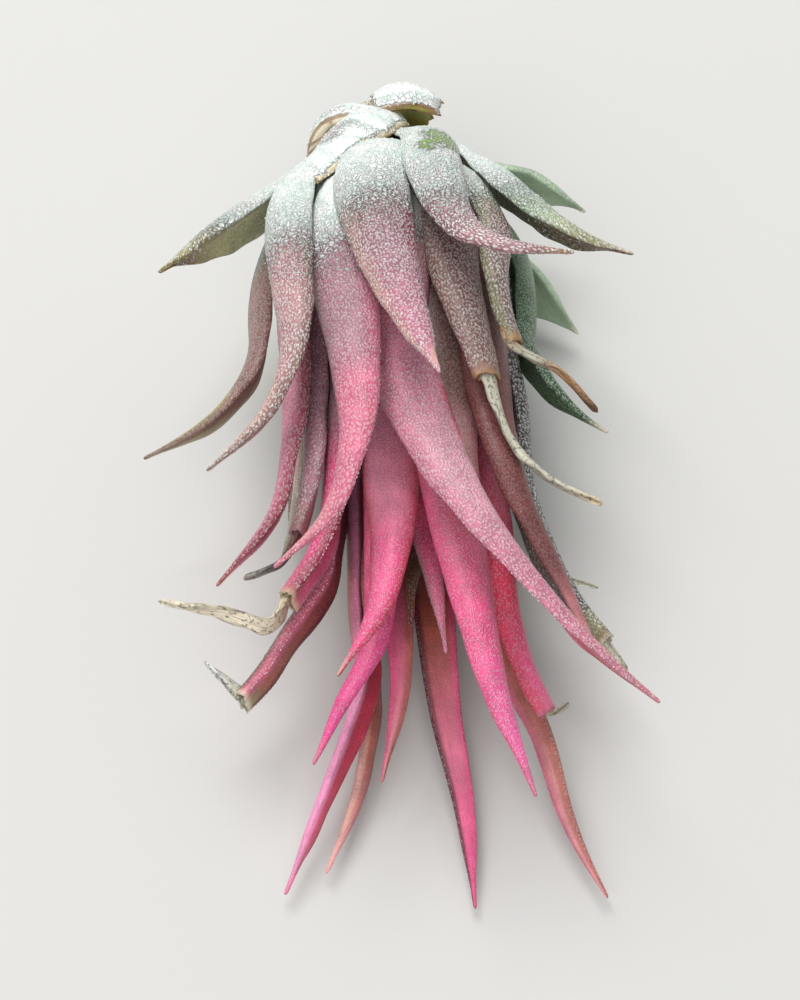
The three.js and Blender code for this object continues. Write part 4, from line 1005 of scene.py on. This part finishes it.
def build_stub(stub, index):
    """The stub of an old leaf: white crust outside, with a thin spot through which the pinkish
    tissue shows, a rim in the stub's own colour with a jagged brown edge, and an olive yellow
    inside that is browner towards its torn end. Where the inside is pale yellow, that is painted
    light over its own olive: the light that shines through the thin leaf from behind."""
    draw = np.random.default_rng(300 + index)
    line = Line(stub["path"])
    share = np.linspace(0, 1, int(line.length / STUB_STEP))
    s = share * line.length
    out, side, _ = frames(stub, line.point(share), line.tangent(share), np.ones(len(share)))
    half_width = stub["wide"] / 2 * mix(STUB_FOOT_SHARE, 1, np.sin(stub["swell"] * share))
    thin = STUB_SKIN * mix(STUB_THIN, 1, smooth(0, STUB_THINS, line.length - s))
    sec = dict(centre=line.point(share), out=out, side=side, half_width=half_width, s=s,
               half_thickness=thin, arc=np.full(len(s), math.radians(stub["arc"])))
    rings = crescent(sec, draw, STUB_WAVE)
    fray = np.stack([wander(s, 0.9, draw) + draw.uniform(-0.5, 0.5, len(s)) for _ in range(2)])
    fray = np.where(ROUND_ACROSS > 0, fray[0][:, None], -fray[1][:, None]) * np.abs(ROUND_ACROSS) ** 8
    rings = rings + RIM_FRAY * fray[..., None] * side[:, None]
    rings[-1] += RIM_FRAY * draw.uniform(-1, 1, (ROUND, 1)) * line.tangent(np.array([1.0]))
    outside = np.sin(ANGLES) + 0 * s[:, None] >= 0
    across = ROUND_ACROSS + 0 * s[:, None]
    inner = stops(stub["inner"], share)[:, None]
    colour = np.where(outside[..., None], mix(tone("mint"), tone("blush"), 0.4), inner)
    frayed = np.abs(across) + 0.05 * wander(s, 1.1, draw)[:, None]
    torn = smooth(0.96, 1, share)[:, None] * outside
    rim = np.maximum(smooth(stub["rim_from"], RIM_FULL, frayed), torn)
    torn = smooth(0.98, 1, share)[:, None] * outside
    edge = np.maximum(smooth(EDGE_FROM, EDGE_WHOLE, np.abs(across)), torn)
    colour = mix(colour, tone(stub["rim"]), RIM_COVER * rim[..., None])
    colour = mix(colour, tone("sepia"), EDGE_COVER * edge[..., None])
    away = np.hypot((share[:, None] - BLOTCH_AT[0]) / BLOTCH_REACH[0],
                    (across - BLOTCH_AT[1]) / BLOTCH_REACH[1])
    away = away + 0.2 * np.sin(40 * share[:, None] + 5 * across)
    blotch = stub["blotch"] * smooth(1.2, 0.5, away)
    scurf = np.where(outside, 0.97 + 0.14 * wander(s, 2, draw)[:, None], 0) * (1 - rim) * (1 - blotch)
    place = np.stack([across * half_width[:, None], s[:, None] + 0 * across, 0 * across], -1)
    pile = Pile()
    points, faces = skin(rings)
    pile.add(points, faces, SKIN, with_ends(colour), with_ends(place), with_ends(scurf[..., None]))
    count = int(FLAKES * line.length * stub["wide"] * STUB_GIRTH)
    angle = draw.uniform(0.1, math.pi - 0.1, count)
    picked = [draw.uniform(0, line.length, count), angle, draw.uniform(0.5, 1, count),
              np.full(count, 0.5), np.broadcast_to(tone("mint"), (count, 3)),
              draw.uniform(0, 1, count)]
    add_grains(pile, sec, rings, *surface_frame(rings), picked, draw)
    return pile.build(stub["name"] + "_skin")


STEM_ROUND = 48
STEM_FINE_RINGS = 53
STEM_BACK = 0.1  # how far its skin lies inside the solid
STEM_WAVE = 0.06
STEM_WAVES = 4  # radians a millimetre
STEM_GRAIN = 0.02


def build_stem():
    """The stem: brown and fibrous with a wavy outline, pale at its cut end. Its radius shrinks
    evenly along it, and a sine along it and a little noise are added."""
    draw = np.random.default_rng(400)
    along = np.linspace(0, STEM_LENGTH, STEM_FINE_RINGS)
    turn = 2 * math.pi * np.arange(STEM_ROUND) / STEM_ROUND
    radius = mix(STEM_RADIUS, STEM_TOP_RADIUS, along / STEM_LENGTH)[:, None] - STEM_BACK
    radius = radius + STEM_WAVE * np.sin(along * STEM_WAVES)[:, None]
    radius = radius + draw.normal(0, STEM_GRAIN, (STEM_FINE_RINGS, STEM_ROUND))
    radial = np.cos(turn)[:, None] * ABOVE + np.sin(turn)[:, None] * RIGHTWARD
    rings = axis_point(along)[:, None] + radius[..., None] * radial[None]
    place = np.stack(np.broadcast_arrays(turn[None] * 2, along[:, None], 0 * radius), -1)
    tissue = stops("0 bone 0.1 khaki 0.25 umber", along / STEM_LENGTH)
    pile = Pile()
    points, faces = skin(rings)
    pile.add(points, faces, DRIED, with_ends(tissue[:, None] + 0 * rings), with_ends(place))
    return pile.build("stem_skin")


def wire(node, ins):
    """Gives inputs of a node a number, a colour or another node's output each."""
    for key, value in ins.items():
        if isinstance(value, bpy.types.NodeSocket):
            node.id_data.links.new(value, node.inputs[key])
        else:
            node.inputs[key].default_value = value


def add(tree, kind, ins=None, out=0, **settings):
    """Adds a node with its settings and inputs and gives back one of its outputs. Where names
    repeat, inputs go by number: a MapRange has its value at 0, from 1 and 2 to 3 and 4, and a
    colour Mix its share at 0 and its colours at 6 and 7."""
    node = tree.nodes.new("ShaderNode" + kind)
    for key, value in settings.items():
        setattr(node, key, value)
    wire(node, ins or {})
    return node.outputs[out]


def new_material(name):
    """A material with a Principled shader, whose sockets the caller sets."""
    material = bpy.data.materials.new(name)
    material.use_nodes = True
    return material, material.node_tree, material.node_tree.nodes["Principled BSDF"]


# The sizes of the patterns, in mm.
BLOTCH = 10 / 7
RIB_BROAD, RIB_LONG = 1 / 6, 2.5
CELL_BROAD, CELL_LONG = 0.145, 0.24  # the place of a fine scale, across the leaf and along it
CELL_BEND = 1 / 2.4  # the noise that bends the rows of cells, and how far it shifts them
CELL_WOBBLE = 0.25
PLATE = 0.35  # of the crust, whose outlines the next two bend in the same way
PLATE_BEND = 2 / 3
PLATE_WARP = 0.9
POWDER = 2 / 11  # drawn as coarse as it needs to show; the real one is finer than 0.02
CLOUD = 10 / 9  # thicker and thinner crust
FLAKE_GRAIN = 1 / 9
FIBRE_BROAD, FIBRE_LONG = 1 / 9, 1 / 1.2
CRACK_BROAD, CRACK_LONG = 1 / 2.2, 1 / 0.22
FLECK = 2 / 11
RELIEF = 0.1  # the height that a bump of 1 stands for


def per(size):
    """How many of a size in mm go into a metre, the Scale of a pattern on Object coordinates."""
    return 1 / (size * MM)


def living_leaf():
    """Succulent leaf skin under scurf, as it grew: a satin cuticle, blotched and faintly ribbed,
    that catches a soft light where it is bare. Fine scales cover it: irregular cells, longer than
    wide, of which a share carries a white dome. Towards its base they close to a matt white
    powdery crust, cracked into plates whose gaps widen until single plates are left."""
    material, tree, shader = new_material("leaf_skin_under_scurf")
    where = add(tree, "TexCoord", out="Object")
    tissue = add(tree, "Attribute", out="Color", attribute_name="tissue")
    place = add(tree, "Attribute", out="Vector", attribute_name="place")
    scurf = add(tree, "Attribute", out="Fac", attribute_name="scurf")
    cover = add(tree, "Attribute", out="Vector", attribute_name="cover")
    density = add(tree, "SeparateXYZ", {0: cover})
    white = density.node.outputs[1]

    # The tissue, with slow blotches and lengthwise ribs.
    blotch = add(tree, "TexNoise", {"Vector": where, "Scale": per(BLOTCH), "Detail": 3})
    blotch = add(tree, "MapRange", {0: blotch, 1: 0.3, 2: 0.7, 3: 0.8, 4: 1.16})
    stretched = add(tree, "Mapping", {"Vector": place, "Scale": (1 / RIB_BROAD, 1 / RIB_LONG, 1)})
    ribs = add(tree, "TexNoise", {"Vector": stretched, "Scale": 1, "Detail": 2})
    ribs = add(tree, "MapRange", {0: ribs, 1: 0.3, 2: 0.7, 3: 0.88, 4: 1.1})
    shade = add(tree, "Math", {0: blotch, 1: ribs}, operation="MULTIPLY")
    toned = add(tree, "VectorMath", {0: tissue, "Scale": shade}, operation="SCALE")

    # The fine scales, with painted shade between them.
    wobble = add(tree, "TexNoise", {"Vector": place, "Scale": 1 / CELL_BEND}, out="Color")
    wobble = add(tree, "VectorMath", {0: wobble, "Scale": CELL_WOBBLE}, operation="SCALE")
    cells = add(tree, "VectorMath", {0: place, 1: wobble})
    cells = add(tree, "VectorMath", {0: cells, 1: (1 / CELL_BROAD, 1 / CELL_LONG, 1)},
                operation="MULTIPLY")
    middle = add(tree, "TexVoronoi", {"Vector": cells, "Scale": 1}, voronoi_dimensions="2D")
    drawn = add(tree, "SeparateColor", {0: middle.node.outputs["Color"]})
    taken = add(tree, "Math", {0: density, 1: drawn}, operation="SUBTRACT")
    taken = add(tree, "MapRange", {0: taken, 1: 0, 2: 0.2})
    dome = add(tree, "MapRange", {0: middle, 1: 0.62, 2: 0.18}, interpolation_type="SMOOTHSTEP")
    scale = add(tree, "Math", {0: taken, 1: dome}, operation="MULTIPLY")
    # painted shade on the tissue between the fine scales, and faint painted light on their domes
    scale_gap_shade = add(tree, "MapRange", {0: dome, 3: 0.66, 4: 1.05})
    scale_gap_shade = add(tree, "Mix", {0: white, 2: 1, 3: scale_gap_shade})
    toned = add(tree, "VectorMath", {0: toned, "Scale": scale_gap_shade}, operation="SCALE")
    pale = add(tree, "MapRange", {0: drawn.node.outputs[1], 3: 0.45, 4: 1})
    pale = add(tree, "Math", {0: pale, 1: white}, operation="MULTIPLY")
    pale = add(tree, "Math", {0: pale, 1: scale}, operation="MULTIPLY")
    scaly = add(tree, "Mix", {0: pale, 6: toned, 7: rgba("chalk")}, out=2, data_type="RGBA")

    # The crust: plates of powder, with painted shadow in the gaps round them where it is whole.
    warp = add(tree, "TexNoise", {"Vector": where, "Scale": per(PLATE_BEND), "Detail": 3}, out="Color")
    warp = add(tree, "VectorMath", {0: warp, "Scale": PLATE_WARP * MM}, operation="SCALE")
    bent = add(tree, "VectorMath", {0: where, 1: warp})
    crack = add(tree, "TexVoronoi", {"Vector": bent, "Scale": per(PLATE)},
                feature="DISTANCE_TO_EDGE")
    gap = add(tree, "MapRange", {0: scurf, 3: 0.5, 4: -0.3})
    plate = add(tree, "Math", {0: crack, 1: gap}, operation="SUBTRACT")
    depth = add(tree, "MapRange", {0: scurf, 2: 0.25, 3: 1, 4: 0.5})
    # painted shadow along the edges of the plates, deepest where the crust is whole
    shadow = add(tree, "MapRange", {0: plate, 1: -0.14, 2: -0.02, 3: 1, 4: depth})
    height = add(tree, "MapRange", {0: plate, 1: 0, 2: 0.3})
    plate = add(tree, "MapRange", {0: plate, 1: 0, 2: 0.09})
    powder = add(tree, "TexNoise", {"Vector": where, "Scale": per(POWDER), "Detail": 2})
    cloud = add(tree, "TexNoise", {"Vector": where, "Scale": per(CLOUD), "Detail": 2})
    cloud = add(tree, "MapRange", {0: cloud, 1: 0.35, 2: 0.65})
    crust = add(tree, "Mix", {0: cloud, 6: rgba("mint"), 7: rgba("chalk")}, out=2, data_type="RGBA")
    crust = add(tree, "Mix", {0: 0.08, 6: crust, 7: tissue}, out=2, data_type="RGBA")
    grit = add(tree, "MapRange", {0: powder, 1: 0.3, 2: 0.7, 3: 0.88, 4: 1.08})
    crust = add(tree, "VectorMath", {0: crust, "Scale": grit}, operation="SCALE")
    gapped = add(tree, "VectorMath", {0: scaly, "Scale": shadow}, operation="SCALE")
    colour = add(tree, "Mix", {0: plate, 6: gapped, 7: crust}, out=2, data_type="RGBA")

    # The relief of scales, plates, lumps and powder, and the gloss, which the crust takes away.
    proud = add(tree, "MapRange", {0: white, 3: 0.1, 4: 1.2})
    relief = add(tree, "Math", {0: scale, 1: proud}, operation="MULTIPLY")
    relief = add(tree, "Math", {0: height, 1: 2.2, 2: relief}, operation="MULTIPLY_ADD")
    lumps = add(tree, "Math", {0: cloud, 1: height}, operation="MULTIPLY")
    relief = add(tree, "Math", {0: lumps, 1: 1.5, 2: relief}, operation="MULTIPLY_ADD")
    relief = add(tree, "Math", {0: powder, 1: 0.3, 2: relief}, operation="MULTIPLY_ADD")
    bump = add(tree, "Bump", {"Height": relief, "Distance": RELIEF * MM, "Strength": 0.9})
    rough = add(tree, "MapRange", {0: plate, 3: 0.38, 4: 0.9})
    wire(shader, {"Base Color": colour, "Roughness": rough, "Normal": bump})
    return material


def trichome():
    """A raised leaf scale, a dry papery trichome: a brittle white flake that glints a little, with
    a fine grain."""
    material, tree, shader = new_material("trichome_scale")
    where = add(tree, "TexCoord", out="Object")
    tissue = add(tree, "Attribute", out="Color", attribute_name="tissue")
    grain = add(tree, "TexNoise", {"Vector": where, "Scale": per(FLAKE_GRAIN), "Detail": 1})
    shade = add(tree, "MapRange", {0: grain, 1: 0.3, 2: 0.7, 3: 0.85, 4: 1.08})
    toned = add(tree, "VectorMath", {0: tissue, "Scale": shade}, operation="SCALE")
    wire(shader, {"Base Color": toned, "Roughness": 0.45})
    return material


def dried():
    """Dead leaf tissue, shrivelled as it dried: papery and matt, streaked lengthwise by its fibres,
    with dark cracks that run along it and dark flecks."""
    material, tree, shader = new_material("dried_leaf_end")
    where = add(tree, "TexCoord", out="Object")
    tissue = add(tree, "Attribute", out="Color", attribute_name="tissue")
    place = add(tree, "Attribute", out="Vector", attribute_name="place")
    stretched = add(tree, "Mapping", {"Vector": place, "Scale": (1 / FIBRE_BROAD, 1 / FIBRE_LONG, 1)})
    fibre = add(tree, "TexNoise", {"Vector": stretched, "Scale": 1, "Detail": 4})
    shade = add(tree, "MapRange", {0: fibre, 1: 0.35, 2: 0.65, 3: 0.78, 4: 1.12})
    toned = add(tree, "VectorMath", {0: tissue, "Scale": shade}, operation="SCALE")
    split = add(tree, "Mapping", {"Vector": place, "Scale": (1 / CRACK_BROAD, 1 / CRACK_LONG, 1)})
    split = add(tree, "TexVoronoi", {"Vector": split, "Scale": 1}, feature="DISTANCE_TO_EDGE")
    split = add(tree, "MapRange", {0: split, 1: 0.03, 2: 0.01, 4: 0.4})
    fleck = add(tree, "TexNoise", {"Vector": where, "Scale": per(FLECK), "Detail": 2})
    fleck = add(tree, "MapRange", {0: fleck, 1: 0.57, 2: 0.66, 4: 0.7})
    dark = add(tree, "Math", {0: split, 1: fleck}, operation="MAXIMUM")
    dark = add(tree, "Math", {0: dark, 1: 0.85}, operation="MULTIPLY")
    colour = add(tree, "Mix", {0: dark, 6: toned, 7: rgba("bark")}, out=2, data_type="RGBA")
    relief = add(tree, "Math", {0: fibre, 1: dark}, operation="SUBTRACT")
    bump = add(tree, "Bump", {"Height": relief, "Distance": RELIEF * MM, "Strength": 0.8})
    wire(shader, {"Base Color": colour, "Roughness": 0.8, "Normal": bump})
    return material


leaf_skin = living_leaf()
leaf_scale = trichome()
dried_leaf = dried()

# Each dressed piece takes its solid's place and carries its finish.
pieces = [(build_leaf(leaf, index), leaf["name"]) for index, leaf in enumerate(LEAVES)]
pieces += [(build_stub(stub, index), stub["name"]) for index, stub in enumerate(STUBS)]
pieces.append((build_stem(), "stem"))
for piece, node in pieces:
    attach(piece, "root")
    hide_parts(node)

# The floor that it lies on: uncoated paper, pale and matt.
floor_mesh = bpy.data.meshes.new("floor")
floor_mesh.from_pydata([(-1, -1, 0), (1, -1, 0), (1, 1, 0), (-1, 1, 0)], [], [(0, 1, 2, 3)])
floor = bpy.data.objects.new("floor", floor_mesh)
bpy.context.scene.collection.objects.link(floor)
paper, _, paper_shader = new_material("matt_paper")
wire(paper_shader, {"Base Color": rgba("paper"), "Roughness": 0.9})
floor_mesh.materials.append(paper)

# The camera looks down on the plant from in front of its tips.
VIEW_ELEVATION = math.radians(55)
VIEW_DISTANCE = 115
LENS = 67.18  # which gives about 16 pixels a millimetre at that distance
back = np.array([0, -math.cos(VIEW_ELEVATION), math.sin(VIEW_ELEVATION)])
camera = bpy.data.objects.new("camera", bpy.data.cameras.new("camera"))
camera.data.lens = LENS
camera.data.clip_start = 0.01
camera.location = (CENTRING + back * VIEW_DISTANCE) * MM
camera.rotation_euler = (math.radians(90) - VIEW_ELEVATION, 0, 0)
bpy.context.scene.collection.objects.link(camera)
bpy.context.scene.camera = camera

# Soft daylight from a window behind the cut end, and a weak fill from the front.
world = bpy.data.worlds.new("studio")
bpy.context.scene.world = world
world.use_nodes = True
wire(world.node_tree.nodes["Background"], {"Color": (0.9, 0.95, 1, 1), "Strength": 0.42})
LAMPS = [("window", (-0.08, 0.22, 0.42), 0.3, 2.0), ("fill", (-0.1, -0.35, 0.35), 0.4, 1.3)]
for name, place, size, power in LAMPS:
    lamp = bpy.data.objects.new(name, bpy.data.lights.new(name, "AREA"))
    lamp.data.size = size
    lamp.data.energy = power
    lamp.location = place
    lamp.rotation_euler = (-Vector(place)).to_track_quat("-Z", "Y").to_euler()
    bpy.context.scene.collection.objects.link(lamp)
bpy.context.scene.view_settings.view_transform = "Standard"
